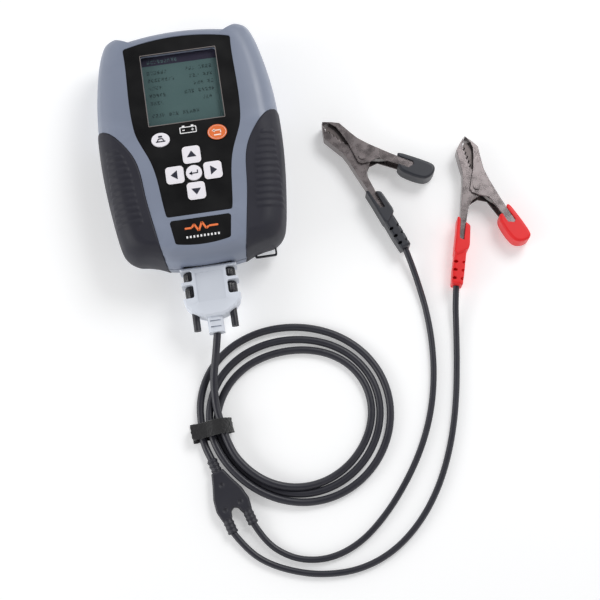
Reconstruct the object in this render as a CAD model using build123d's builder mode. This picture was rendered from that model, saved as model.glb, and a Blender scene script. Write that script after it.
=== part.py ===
from build123d import *

import math
import os

# Handheld battery tester with a plugged-in cable set and two battery clips.
# Millimetres. Origin: bottom centre of the tester. +X right, +Y to the display end,
# +Z out of the display. The tester lies on its back, the cables and clips beside it.

os.makedirs("parts", exist_ok=True)

# ---------------------------------------------------------------- driving dimensions
HALF_WIDTH = 61.6  # housing, at its widest
HALF_LENGTH = 82.7
PARTING_Z = 20.5  # joint line between the two shells
FOOT_H = 2.0
FACE_Z = 45.0  # flat front face
FACE_WALL_Z = 41.3  # inside of the front wall
SEAL_T = 1.2

OVERLAY_FLOOR_Z = 43.6  # floor of the recess for the overlay
OVERLAY_T = 1.0
PLATE_T = 1.1
WINDOW_W = 50.5
WINDOW_H = 50.5
WINDOW_Y = 37.5
WINDOW_T = 1.2

KEY_TRAVEL = 0.8
KEY_TOP_Z = 45.4
KEY_FLANGE_T = 1.4
KEY_GAP = 0.25  # round each key, in the shell and the overlay
PAD_PITCH = 12.6  # middle key to each arrow key
PAD_Y = -24.3
ARROW_KEY = 10.8
ENTER_R = 5.3
ARROW_HOLLOW_R = 7.3  # arrow keys are hollowed round the middle key
OVAL_X = 18.9
OVAL_Y = 1.6
OVAL_RX = 6.1
OVAL_RY = 4.9

MAIN_BOARD_Z = 33.0
BOARD_T = 1.6
POWER_BOARD_Z = 9.0
KEY_BASE_Z = 38.0  # underside of each key's flange
CASE_SCREW_R = 1.25
CASE_HEAD_R = 2.7
SCREW_SEAT_Z = 11.0
BOARD_SCREW_R = 1.2
FOOT_R = 5.0
FOOT_PLACES = [(38, 68), (-38, 68), (34, -66), (-34, -66)]

LOOP_X = 39.5  # strap loop at the lower right corner
LOOP_Y = -74.0
LOOP_Z = 9.0
LOOP_W = 15.0
LOOP_L = 9.0
LOOP_T = 2.0

PORT_Z = 19.0  # axis of the connector
SCREW_PITCH = 24.99  # standard nine-way D connector
SOCKET_FLANGE_Y = -76.6
HOOD_FRONT_Y = -82.9
THREAD_R = 1.4
JACKSCREW_END_Y = -124.6
JACKSCREW_STEPS = [  # start, length and radius of the thread, body and shaft
    (-78.4, 6.4, THREAD_R),
    (-84.8, 19.8, 3.2),
    (-104.6, 20.0, 2.4),
]
HOOD_HALF_T = 7.8
CABLE_EXIT_Y = -127.5

MAIN_CABLE_D = 5.0
LEAD_D = 4.2
COIL_X = 44.0
COIL_Y = -188.0
COIL_H = 6.0
STRAND_POINTS = 12  # along each turn

SPLIT_X = -15.6  # top of the splitter's neck
SPLIT_Y = -207.3
SPLIT_TURN = 17.2  # degrees, neck axis from -Y towards +X
SPLIT_AXIS_Z = 3.6

CLIP_Z = 7.2  # middle plane of a clip lying on its side
PLATE_STEEL = 1.1
OUTER_HALF = 6.2  # half width of the moving channel
INNER_HALF = 4.8  # half width of the fixed channel
RIVET_R = 1.6
RIVET_HEAD_R = 2.5
RIVET_HEAD_T = 0.75
RIVET_HALF = 7.0
RUNNING_GAP = 0.05
CLIP_PLACES = {"black": (114.5, -18.0, 40.0), "red": (188.0, -51.0, 3.5)}


def finish(piece, label):
    """Label a finished piece and write its file."""
    piece.part.label = label
    export_step(piece.part, f"parts/{label}.step")


# ---------------------------------------------------------------- housing forms
CROWN_CORNER = (36.0, 79.4)
TAIL_CORNER = (26.0, -80.4)
SIDE_POINTS = [
    (39.3, 80.9),
    (43.6, 82.5),
    (48.6, 80.7),
    (52.2, 75.3),
    (55.4, 66.0),
    (58.3, 52.0),
    (60.6, 35.0),
    (61.6, 14.0),
    (61.4, -6.0),
    (60.0, -26.0),
    (57.8, -45.0),
    (55.2, -61.5),
    (52.5, -69.5),
    (47.2, -73.8),
    (40.0, -75.2),
    (33.0, -77.2),
]


def housing_face(side_inset, end_inset):
    """Outline of the housing from above, drawn in at the sides and at the ends."""
    sx = 1 - side_inset / HALF_WIDTH
    sy = 1 - end_inset / HALF_LENGTH

    def at(point, hand=1):
        return (hand * point[0] * sx, point[1] * sy)

    right = [CROWN_CORNER] + SIDE_POINTS + [TAIL_CORNER]
    with BuildSketch() as face:
        with BuildLine():
            ThreePointArc(at(CROWN_CORNER, -1), at((0, HALF_LENGTH)), at(CROWN_CORNER))
            Spline([at(point) for point in right])
            ThreePointArc(at(TAIL_CORNER), at((0, -HALF_LENGTH)), at(TAIL_CORNER, -1))
            Spline([at(point, -1) for point in reversed(right)])
        make_face()
    return face.sketch


def housing_form(levels):
    """Solid through housing outlines: levels are (height, side inset, end inset)."""
    with BuildPart() as form:
        for z, side_inset, end_inset in levels:
            with BuildSketch(Plane.XY.offset(z)):
                add(housing_face(side_inset, end_inset))
        loft(ruled=True)
    return form.part


outer_form = housing_form(
    [
        (FOOT_H, 5.5, 4.5),
        (6.0, 2.2, 1.8),
        (PARTING_Z, 0.0, 0.0),
        (34.0, 1.8, 1.0),
        (40.5, 5.0, 3.2),
        (43.8, 9.5, 5.8),
        (FACE_Z, 14.0, 8.0),
    ]
)
core_form = housing_form(
    [
        (0.0, 8.0, 7.0),
        (6.0, 5.0, 4.6),
        (PARTING_Z, 3.0, 3.0),
        (33.0, 4.8, 4.0),
        (38.6, 8.4, 6.4),
        (41.6, 13.0, 9.0),
        (42.6, 17.5, 11.0),
    ]
)
cavity_form = housing_form(
    [
        (5.0, 11.0, 9.5),
        (8.5, 7.5, 7.0),
        (PARTING_Z, 6.0, 6.0),
        (33.0, 7.6, 7.0),
        (FACE_WALL_Z, 17.0, 12.0),
    ]
)

GRIP_EDGE = [
    (60.0, 15.4),
    (56.4, 14.2),
    (50.5, 10.0),
    (43.5, 1.6),
    (38.0, -8.0),
    (35.0, -19.0),
    (33.5, -35.0),
    (31.0, -53.0),
    (28.2, -70.5),
    (25.8, -84.0),
]


def grip_zone(hand):
    """Region of one side covered by its rubber grip."""
    edge = [(hand * x, y) for x, y in GRIP_EDGE]
    with BuildPart() as zone:
        with BuildSketch(Plane.XY.offset(5.0)):
            with BuildLine():
                Line((hand * 64.0, 15.8), edge[0])
                Spline(edge)
                Polyline(edge[-1], (hand * 64.0, -84.0), (hand * 64.0, 15.8))
            make_face()
        extrude(amount=FACE_Z - 5.0)
    return zone.part


with BuildPart() as loop_slot:
    with BuildSketch(Plane.XY.offset(LOOP_Z)):
        with Locations((LOOP_X, LOOP_Y)):
            Rectangle(LOOP_W, LOOP_L)
    extrude(amount=LOOP_T)

grips = {}
for side, hand in (("left", -1), ("right", 1)):
    with BuildPart() as grip:
        add(outer_form)
        add(core_form, mode=Mode.SUBTRACT)
        add(grip_zone(hand), mode=Mode.INTERSECT)
        add(loop_slot.part, mode=Mode.SUBTRACT)
    grips[side] = grip.part
    finish(grip, f"{side}_grip")


# ---------------------------------------------------------------- front outlines
OVERLAY_CORNER = (36.6, 69.2)
OVERLAY_SIDE = [
    (36.4, 45.0),
    (36.0, 14.0),
    (34.9, 7.0),
    (32.0, -1.2),
    (28.0, -11.0),
    (25.6, -20.0),
    (23.6, -36.0),
]
OVERLAY_FOOT = (21.6, -52.6)


def overlay_face(inset):
    """Outline of the overlay panel, drawn in by inset at its widest."""
    with BuildSketch() as face:
        with BuildLine():
            side = [OVERLAY_CORNER] + OVERLAY_SIDE + [OVERLAY_FOOT]
            ThreePointArc((-36.6, 69.2), (0, 73.9), OVERLAY_CORNER)
            Spline(side)
            Line(OVERLAY_FOOT, (-21.6, -52.6))
            Spline([(-x, y) for x, y in reversed(side)])
        make_face()
        fillet(face.vertices(), radius=2.0)
    return scale(face.sketch, by=1 - inset / OVERLAY_CORNER[0])


def name_plate_face(inset):
    """Outline of the blank name plate, drawn in all round by inset."""
    with BuildSketch() as face:
        with BuildLine():
            Polyline((-18.1, -71.3), (-20.4, -55.2), (20.4, -55.2), (18.1, -71.3))
            ThreePointArc((18.1, -71.3), (0, -73.4), (-18.1, -71.3))
        make_face()
        fillet(face.vertices(), radius=2.0)
        if inset:
            offset(amount=-inset, mode=Mode.REPLACE)
    return face.sketch


def arrow_key_face(turn, grow):
    """An arrow key, hollowed towards the middle key; turn 0 is the upper key."""
    with BuildSketch() as face:
        with Locations((0, PAD_PITCH)):
            Rectangle(ARROW_KEY, ARROW_KEY)
        fillet(face.vertices(), radius=1.7)
        Circle(ARROW_HOLLOW_R, mode=Mode.SUBTRACT)
        if grow:
            offset(amount=grow, mode=Mode.REPLACE)
    return Pos(0, PAD_Y) * Rot(0, 0, turn) * face.sketch


def round_key_face(grow):
    """The middle key."""
    with BuildSketch() as face:
        with Locations((0, PAD_Y)):
            Circle(ENTER_R + grow)
    return face.sketch


def oval_key_face(hand, grow):
    """One of the two oval keys beside the rating mark."""
    with BuildSketch() as face:
        with Locations((hand * OVAL_X, OVAL_Y)):
            Ellipse(OVAL_RX + grow, OVAL_RY + grow)
    return face.sketch


KEYS = {
    "up_key": lambda grow: arrow_key_face(0, grow),
    "left_key": lambda grow: arrow_key_face(90, grow),
    "down_key": lambda grow: arrow_key_face(180, grow),
    "right_key": lambda grow: arrow_key_face(270, grow),
    "enter_key": round_key_face,
    "menu_key": lambda grow: oval_key_face(-1, grow),
    "escape_key": lambda grow: oval_key_face(1, grow),
}
KEY_PLACES = [
    (0, PAD_Y + PAD_PITCH),
    (-PAD_PITCH, PAD_Y),
    (0, PAD_Y - PAD_PITCH),
    (PAD_PITCH, PAD_Y),
    (0, PAD_Y),
    (-OVAL_X, OVAL_Y),
    (OVAL_X, OVAL_Y),
]

# ---------------------------------------------------------------- shells and seal
CASE_SCREWS = [(42, 58), (-42, 58), (44, -52), (-44, -52)]
BOARD_SCREWS = [(33.5, 66), (-33.5, 66), (27, -44), (-27, -44)]
BOSS_R = 3.6
SCREW_HOLE_R = 1.25
PORT_W = 33.0
PORT_H = 13.0

with BuildPart() as port_cut:
    with BuildSketch(Plane.XZ.offset(70.0)):
        with Locations((0, PORT_Z)):
            RectangleRounded(PORT_W, PORT_H, 2.0)
    extrude(amount=20.0)

with BuildPart() as front_shell:
    add(outer_form)
    split(bisect_by=Plane.XY.offset(PARTING_Z + SEAL_T / 2), keep=Keep.TOP)
    add(cavity_form, mode=Mode.SUBTRACT)
    with BuildSketch(Plane.XY.offset(PARTING_Z + SEAL_T / 2)):
        with Locations(*CASE_SCREWS):
            Circle(BOSS_R)
    extrude(amount=FACE_WALL_Z - PARTING_Z - 2.5)
    with BuildSketch(Plane.XY.offset(MAIN_BOARD_Z + BOARD_T)):
        with Locations(*BOARD_SCREWS):
            Circle(2.6)
    extrude(amount=FACE_WALL_Z - MAIN_BOARD_Z - BOARD_T)
    with BuildSketch(Plane.XY.offset(PARTING_Z)):
        with Locations(*CASE_SCREWS):
            Circle(SCREW_HOLE_R)
    extrude(amount=16.0, mode=Mode.SUBTRACT)
    with BuildSketch(Plane.XY.offset(MAIN_BOARD_Z)):
        with Locations(*BOARD_SCREWS):
            Circle(SCREW_HOLE_R)
    extrude(amount=6.5, mode=Mode.SUBTRACT)
    with BuildSketch(Plane.XY.offset(OVERLAY_FLOOR_Z)):
        add(overlay_face(0))
        add(name_plate_face(0))
    extrude(amount=5.0, mode=Mode.SUBTRACT)
    with BuildSketch(Plane.XY.offset(FACE_WALL_Z - 1.0)):
        with Locations((0, WINDOW_Y)):
            RectangleRounded(WINDOW_W, WINDOW_H, 1.5)
        for key_face in KEYS.values():
            add(key_face(KEY_GAP))
    extrude(amount=8.0, mode=Mode.SUBTRACT)
    add(port_cut.part, mode=Mode.SUBTRACT)
    for part in grips.values():
        add(part, mode=Mode.SUBTRACT)
finish(front_shell, "front_shell")

with BuildPart() as rear_shell:
    add(outer_form)
    split(bisect_by=Plane.XY.offset(PARTING_Z - SEAL_T / 2), keep=Keep.BOTTOM)
    add(cavity_form, mode=Mode.SUBTRACT)
    with BuildSketch(Plane.XY.offset(4.0)):
        with Locations(*CASE_SCREWS):
            Circle(BOSS_R)
    extrude(amount=PARTING_Z - SEAL_T / 2 - 4.0)
    with BuildSketch(Plane.XY.offset(4.0)):
        with GridLocations(62, 76, 2, 2):
            Circle(3.0)
    extrude(amount=POWER_BOARD_Z - 4.0)
    with BuildSketch(Plane.XY.offset(FOOT_H - 1.0)):
        with Locations(*CASE_SCREWS):
            Circle(CASE_SCREW_R + 0.1)
    extrude(amount=PARTING_Z, mode=Mode.SUBTRACT)
    with BuildSketch(Plane.XY.offset(FOOT_H - 1.0)):
        with Locations(*CASE_SCREWS):
            Circle(CASE_HEAD_R + 0.3)
    extrude(amount=SCREW_SEAT_Z - FOOT_H + 1.0, mode=Mode.SUBTRACT)
    with BuildSketch(Plane.XY.offset(FOOT_H - 1.0)):
        with Locations(*FOOT_PLACES):
            Circle(FOOT_R)
    extrude(amount=2.0, mode=Mode.SUBTRACT)
    add(port_cut.part, mode=Mode.SUBTRACT)
    for part in grips.values():
        add(part, mode=Mode.SUBTRACT)
    add(loop_slot.part, mode=Mode.SUBTRACT)
finish(rear_shell, "rear_shell")

with BuildPart() as shell_seal:
    with BuildSketch(Plane.XY.offset(PARTING_Z - SEAL_T / 2)):
        add(housing_face(3.6, 3.6))
        add(housing_face(5.4, 5.4), mode=Mode.SUBTRACT)
        with Locations((0, -78.0)):
            Rectangle(PORT_W + 1.0, 12.0, mode=Mode.SUBTRACT)
    extrude(amount=SEAL_T)
finish(shell_seal, "shell_seal")

with BuildPart() as case_screws:
    with BuildSketch(Plane.XY.offset(SCREW_SEAT_Z)):
        with Locations(*CASE_SCREWS):
            Circle(CASE_SCREW_R)
    extrude(amount=15.0)
    with BuildSketch(Plane.XY.offset(SCREW_SEAT_Z - 2.4)):
        with Locations(*CASE_SCREWS):
            Circle(CASE_HEAD_R)
    extrude(amount=2.4)
    for x, y in CASE_SCREWS:
        with BuildSketch(Plane.XY.offset(SCREW_SEAT_Z - 2.4)):
            with Locations((x, y)):
                Rectangle(3.6, 0.9)
                Rectangle(0.9, 3.6)
        extrude(amount=1.2, mode=Mode.SUBTRACT)
finish(case_screws, "case_screws")

with BuildPart() as rear_feet:
    with BuildSketch():
        with Locations(*FOOT_PLACES):
            Circle(FOOT_R)
    extrude(amount=FOOT_H + 1.0)
    chamfer(rear_feet.edges().group_by(Axis.Z)[0], length=0.5)
finish(rear_feet, "rear_feet")

# ---------------------------------------------------------------- strap loop
with BuildPart() as strap_loop:
    with BuildSketch(Plane.XY.offset(LOOP_Z)):
        with Locations((LOOP_X, LOOP_Y)):
            RectangleRounded(LOOP_W, LOOP_L, 1.4)
            RectangleRounded(LOOP_W - 2.4, LOOP_L - 2.4, 0.8, mode=Mode.SUBTRACT)
    extrude(amount=LOOP_T)
finish(strap_loop, "strap_loop")

# ---------------------------------------------------------------- front panel
with BuildPart() as overlay_panel:
    with BuildSketch(Plane.XY.offset(OVERLAY_FLOOR_Z)):
        add(overlay_face(0.15))
    extrude(amount=OVERLAY_T)
    with BuildSketch(Plane.XY.offset(OVERLAY_FLOOR_Z)):
        with Locations((0, WINDOW_Y)):
            RectangleRounded(WINDOW_W, WINDOW_H, 1.5)
    extrude(amount=OVERLAY_T, mode=Mode.SUBTRACT)
    for key_face in KEYS.values():
        with BuildSketch(Plane.XY.offset(OVERLAY_FLOOR_Z)):
            add(key_face(KEY_GAP))
        extrude(amount=OVERLAY_T, mode=Mode.SUBTRACT)
finish(overlay_panel, "overlay_panel")

with BuildPart() as name_plate:
    with BuildSketch(Plane.XY.offset(OVERLAY_FLOOR_Z)):
        add(name_plate_face(0.15))
    extrude(amount=PLATE_T)
finish(name_plate, "name_plate")

with BuildPart() as display_window:
    with BuildSketch(Plane.XY.offset(FACE_WALL_Z - WINDOW_T)):
        with Locations((0, WINDOW_Y)):
            RectangleRounded(WINDOW_W + 5, WINDOW_H + 5, 2.0)
    extrude(amount=WINDOW_T)
    with BuildSketch(Plane.XY.offset(FACE_WALL_Z)):
        with Locations((0, WINDOW_Y)):
            RectangleRounded(WINDOW_W - 0.4, WINDOW_H - 0.4, 1.4)
    extrude(amount=1.0)
finish(display_window, "display_window")

with BuildPart() as display_module:
    with BuildSketch(Plane.XY.offset(MAIN_BOARD_Z + BOARD_T)):
        with Locations((0, WINDOW_Y)):
            Rectangle(58.0, 58.0)
    extrude(amount=FACE_WALL_Z - WINDOW_T - 0.1 - MAIN_BOARD_Z - BOARD_T)
    chamfer(display_module.edges().filter_by(Axis.Z), length=1.0)
finish(display_module, "display_module")

# ---------------------------------------------------------------- keys
for label, key_face in KEYS.items():
    with BuildPart() as key:
        with BuildSketch(Plane.XY.offset(KEY_BASE_Z)):
            add(key_face(0.9))
        extrude(amount=KEY_FLANGE_T)
        with BuildSketch(Plane.XY.offset(KEY_BASE_Z + KEY_FLANGE_T)):
            add(key_face(0))
        extrude(amount=KEY_TOP_Z - KEY_BASE_Z - KEY_FLANGE_T)
        fillet(key.edges().group_by(Axis.Z)[-1], radius=0.4)
    finish(key, label)

with BuildPart() as keypad_mat:
    with BuildSketch(Plane.XY.offset(MAIN_BOARD_Z + BOARD_T + 0.4)):
        with Locations((0, -15.5)):
            RectangleRounded(52.0, 48.0, 4.0)
        with Locations((0, -40.5)):
            Rectangle(40.0, 8.0)
    extrude(amount=KEY_BASE_Z - KEY_TRAVEL - 0.1 - MAIN_BOARD_Z - BOARD_T - 0.4)
finish(keypad_mat, "keypad_mat")

with BuildPart() as key_contacts:
    with BuildSketch(Plane.XY.offset(MAIN_BOARD_Z + BOARD_T)):
        with Locations(*KEY_PLACES):
            Circle(2.2)
    extrude(amount=0.4)
finish(key_contacts, "key_contacts")

# ---------------------------------------------------------------- electronics
with BuildPart() as main_board:
    with BuildSketch(Plane.XY.offset(MAIN_BOARD_Z)):
        with Locations((0, 8.0)):
            RectangleRounded(76.0, 124.0, 3.0)
        with Locations(*BOARD_SCREWS):
            Circle(BOARD_SCREW_R + 0.1, mode=Mode.SUBTRACT)
        with Locations(*CASE_SCREWS):
            Circle(BOSS_R + 0.5, mode=Mode.SUBTRACT)
    extrude(amount=BOARD_T)
finish(main_board, "main_board")

with BuildPart() as board_screws:
    with BuildSketch(Plane.XY.offset(MAIN_BOARD_Z)):
        with Locations(*BOARD_SCREWS):
            Circle(BOARD_SCREW_R)
    extrude(amount=5.5)
    with BuildSketch(Plane.XY.offset(MAIN_BOARD_Z - 1.6)):
        with Locations(*BOARD_SCREWS):
            Circle(2.3)
    extrude(amount=1.6)
finish(board_screws, "board_screws")

with BuildPart() as board_chips:
    with BuildSketch(Plane.XY.offset(MAIN_BOARD_Z - 1.8)):
        with Locations((0, 14), (-26, 20), (26, 20), (0, -16)):
            Rectangle(13.0, 13.0)
    extrude(amount=1.8)
    chamfer(board_chips.edges().group_by(Axis.Z)[0], length=0.3)
finish(board_chips, "board_chips")

with BuildPart() as buzzer:
    with BuildSketch(Plane.XY.offset(MAIN_BOARD_Z - 7.5)):
        with Locations((-24.0, 45.0)):
            Circle(6.0)
    extrude(amount=7.5)
    with BuildSketch(Plane.XY.offset(MAIN_BOARD_Z - 7.5)):
        with Locations((-24.0, 45.0)):
            Circle(1.2)
    extrude(amount=2.0, mode=Mode.SUBTRACT)
finish(buzzer, "buzzer")

with BuildPart() as power_board:
    with BuildSketch(Plane.XY.offset(POWER_BOARD_Z)):
        RectangleRounded(70.0, 84.0, 3.0)
    extrude(amount=BOARD_T)
finish(power_board, "power_board")

with BuildPart() as load_resistor:
    with BuildSketch(Plane.XY.offset(POWER_BOARD_Z + BOARD_T)):
        with Locations((-14.0, 14.0)):
            Rectangle(28.0, 15.0)
    extrude(amount=12.0)
    with BuildSketch(Plane.XY.offset(POWER_BOARD_Z + BOARD_T + 3.0)):
        with Locations(*[(-26.0 + 4.0 * i, 14.0) for i in range(7)]):
            Rectangle(1.8, 15.0)
    extrude(amount=9.0, mode=Mode.SUBTRACT)
finish(load_resistor, "load_resistor")

# ---------------------------------------------------------------- nine-way socket
PIN_ROWS = [(2.77 * (i - 2), PORT_Z + 1.42) for i in range(5)] + [
    (2.77 * (i - 1.5), PORT_Z - 1.42) for i in range(4)
]


def port_plane(y):
    """Plane across the connector's axis at y, facing out of the housing."""
    return Plane((0, y, 0), x_dir=(1, 0, 0), z_dir=(0, -1, 0))


def d_face(width, height):
    """The D outline of a connector, wider at the top."""
    slope = height * math.tan(math.radians(10))
    with BuildSketch() as face:
        with BuildLine():
            Polyline(
                (-width / 2, PORT_Z + height / 2),
                (width / 2, PORT_Z + height / 2),
                (width / 2 - slope, PORT_Z - height / 2),
                (-width / 2 + slope, PORT_Z - height / 2),
                close=True,
            )
        make_face()
        fillet(face.vertices(), radius=height * 0.26)
    return face.sketch


with BuildPart() as socket_shell:
    with BuildSketch(port_plane(SOCKET_FLANGE_Y + 0.8)):
        with Locations((0, PORT_Z)):
            RectangleRounded(30.8, 12.4, 1.5)
        with Locations((-SCREW_PITCH / 2, PORT_Z), (SCREW_PITCH / 2, PORT_Z)):
            Circle(1.55, mode=Mode.SUBTRACT)
        add(d_face(15.5, 7.1), mode=Mode.SUBTRACT)
    extrude(amount=0.8)
    with BuildSketch(port_plane(SOCKET_FLANGE_Y)):
        add(d_face(16.3, 7.9))
        add(d_face(15.5, 7.1), mode=Mode.SUBTRACT)
    extrude(amount=5.6)
finish(socket_shell, "socket_shell")

with BuildPart() as socket_insert:
    with BuildSketch(port_plane(SOCKET_FLANGE_Y + 6.0)):
        with Locations((0, PORT_Z)):
            Rectangle(17.0, 10.0)
    extrude(amount=5.2)
    with BuildSketch(port_plane(SOCKET_FLANGE_Y + 0.8)):
        add(d_face(15.5, 7.1))
    extrude(amount=6.2)
    with BuildSketch(port_plane(SOCKET_FLANGE_Y + 6.0)):
        with Locations(*PIN_ROWS):
            Circle(0.8)
    extrude(amount=14.0, mode=Mode.SUBTRACT)
finish(socket_insert, "socket_insert")

with BuildPart() as socket_contacts:
    with BuildSketch(port_plane(SOCKET_FLANGE_Y + 10.0)):
        with Locations(*PIN_ROWS):
            Circle(0.8)
    extrude(amount=15.4)
    with BuildSketch(port_plane(SOCKET_FLANGE_Y + 2.0)):
        with Locations(*PIN_ROWS):
            Circle(0.55)
    extrude(amount=8.0, mode=Mode.SUBTRACT)
finish(socket_contacts, "socket_contacts")

with BuildPart() as socket_standoffs:
    with BuildSketch(port_plane(SOCKET_FLANGE_Y)):
        with Locations((-SCREW_PITCH / 2, PORT_Z), (SCREW_PITCH / 2, PORT_Z)):
            RegularPolygon(2.75, 6)
    extrude(amount=5.4)
    with BuildSketch(port_plane(SOCKET_FLANGE_Y + 4.0)):
        with Locations((-SCREW_PITCH / 2, PORT_Z), (SCREW_PITCH / 2, PORT_Z)):
            Circle(1.5)
    extrude(amount=4.0)
    with BuildSketch(port_plane(SOCKET_FLANGE_Y)):
        with Locations((-SCREW_PITCH / 2, PORT_Z), (SCREW_PITCH / 2, PORT_Z)):
            Circle(THREAD_R + RUNNING_GAP)
    extrude(amount=6.0, mode=Mode.SUBTRACT)
finish(socket_standoffs, "socket_standoffs")

# ---------------------------------------------------------------- cable plug
with BuildPart() as plug_shell:
    with BuildSketch(port_plane(HOOD_FRONT_Y)):
        with Locations((0, PORT_Z)):
            RectangleRounded(30.8, 12.4, 1.5)
        with Locations((-SCREW_PITCH / 2, PORT_Z), (SCREW_PITCH / 2, PORT_Z)):
            Circle(THREAD_R + 0.2, mode=Mode.SUBTRACT)
        add(d_face(17.0, 8.6), mode=Mode.SUBTRACT)
    extrude(amount=0.8)
    with BuildSketch(port_plane(SOCKET_FLANGE_Y - 0.6)):
        add(d_face(18.0, 9.6))
        add(d_face(17.0, 8.6), mode=Mode.SUBTRACT)
    extrude(amount=SOCKET_FLANGE_Y - 0.6 - HOOD_FRONT_Y)
finish(plug_shell, "plug_shell")

with BuildPart() as plug_insert:
    with BuildSketch(port_plane(HOOD_FRONT_Y)):
        add(d_face(17.0, 8.6))
    extrude(amount=6.0)
    with BuildSketch(port_plane(HOOD_FRONT_Y)):
        with Locations(*PIN_ROWS):
            Circle(0.5)
    extrude(amount=6.0, mode=Mode.SUBTRACT)
finish(plug_insert, "plug_insert")

with BuildPart() as plug_contacts:
    with BuildSketch(port_plane(HOOD_FRONT_Y + 4.6)):
        with Locations(*PIN_ROWS):
            Circle(0.5)
    extrude(amount=13.0)
finish(plug_contacts, "plug_contacts")


HOOD_SIDE = [
    (18.8, HOOD_FRONT_Y),
    (19.0, -104.5),
    (17.8, -108.6),
    (14.5, -112.6),
    (9.6, -115.6),
    (5.6, -117.0),
]


def hood_face():
    """Outline of the plug's hood from above."""
    with BuildSketch() as face:
        with BuildLine():
            Polyline(*HOOD_SIDE, *[(-x, y) for x, y in reversed(HOOD_SIDE)], close=True)
        make_face()
    return face.sketch


def jackscrew_bore(hand, gap):
    """Room for one jackscrew: its body, its shaft and its thread."""
    with BuildPart() as bore:
        for start, length, radius in JACKSCREW_STEPS:
            with BuildSketch(port_plane(start + gap)):
                with Locations((hand * SCREW_PITCH / 2, PORT_Z)):
                    Circle(radius + gap)
            extrude(amount=length + 2 * gap)
    return bore.part


def hood_half(up):
    """One half of the hood; up is 1 for the upper half and -1 for the lower."""
    with BuildPart() as half:
        with BuildSketch(Plane.XY.offset(PORT_Z - (1 - up) / 2 * HOOD_HALF_T)):
            add(hood_face())
        extrude(amount=HOOD_HALF_T)
        rim = half.edges().group_by(Axis.Z)[-1 if up > 0 else 0]
        chamfer(rim, length=1.3)
        with BuildSketch(Plane.XY.offset(PORT_Z - 5.8)):
            with Locations((0, -96.5)):
                Rectangle(18.0, 24.0)
            with Locations((0, -90.0)):
                Rectangle(18.0, 20.0)
        extrude(amount=11.6, mode=Mode.SUBTRACT)
        with BuildSketch(port_plane(HOOD_FRONT_Y + 0.5)):
            with Locations((0, PORT_Z)):
                Rectangle(31.0, 12.6)
        extrude(amount=1.4, mode=Mode.SUBTRACT)
        for hand in (-1, 1):
            add(jackscrew_bore(hand, RUNNING_GAP), mode=Mode.SUBTRACT)
            for y, length in ((-88.6, 7.6), (-99.0, 9.2)):
                with BuildSketch(Plane.XY.offset(PORT_Z - HOOD_HALF_T - 1)):
                    with Locations((hand * 15.6, y)):
                        RectangleRounded(8.6, length, 1.6)
                extrude(amount=2 * HOOD_HALF_T + 2, mode=Mode.SUBTRACT)
        with BuildSketch(port_plane(-104.0)):
            with Locations((0, PORT_Z)):
                RectangleRounded(8.4, 8.0, 1.2)
        extrude(amount=20.0, mode=Mode.SUBTRACT)
    return half


hood_top = hood_half(1)
with BuildPart(mode=Mode.PRIVATE) as label_field:
    with BuildSketch(Plane.XY.offset(PORT_Z + HOOD_HALF_T - 0.3)):
        with Locations((0, -97.0)):
            RectangleRounded(18.5, 20.0, 1.0)
    extrude(amount=1.0)
with hood_top:
    add(label_field.part, mode=Mode.SUBTRACT)
finish(hood_top, "hood_top")
hood_bottom = hood_half(-1)
finish(hood_bottom, "hood_bottom")

for side, hand in (("left", -1), ("right", 1)):
    with BuildPart() as jackscrew:
        add(jackscrew_bore(hand, 0.0))
        with BuildSketch(port_plane(JACKSCREW_END_Y + 1.4)):
            with Locations((hand * SCREW_PITCH / 2, PORT_Z)):
                Rectangle(6.0, 0.9)
        extrude(amount=2.0, mode=Mode.SUBTRACT)
    finish(jackscrew, f"{side}_jackscrew")

with BuildPart() as neck_boot:
    with BuildSketch(port_plane(-112.0)):
        with Locations((0, PORT_Z)):
            RectangleRounded(8.2, 7.8, 1.2)
    extrude(amount=5.0)
    with BuildSketch(port_plane(-117.0)):
        with Locations((0, PORT_Z)):
            RectangleRounded(10.6, 10.0, 3.0)
    extrude(amount=-117.0 - CABLE_EXIT_Y)
    for y in (-119.6, -123.6):
        with BuildSketch(port_plane(y)):
            with Locations((0, PORT_Z + 5.0), (0, PORT_Z - 5.0)):
                Rectangle(7.0, 2.4)
        extrude(amount=0.9, mode=Mode.SUBTRACT)
finish(neck_boot, "neck_boot")

with BuildPart() as cable_clamp:
    with BuildSketch(port_plane(-105.0)):
        with Locations((0, PORT_Z)):
            RectangleRounded(8.2, 7.8, 1.0)
            Circle(2.6, mode=Mode.SUBTRACT)
    extrude(amount=5.0)
finish(cable_clamp, "cable_clamp")

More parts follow.
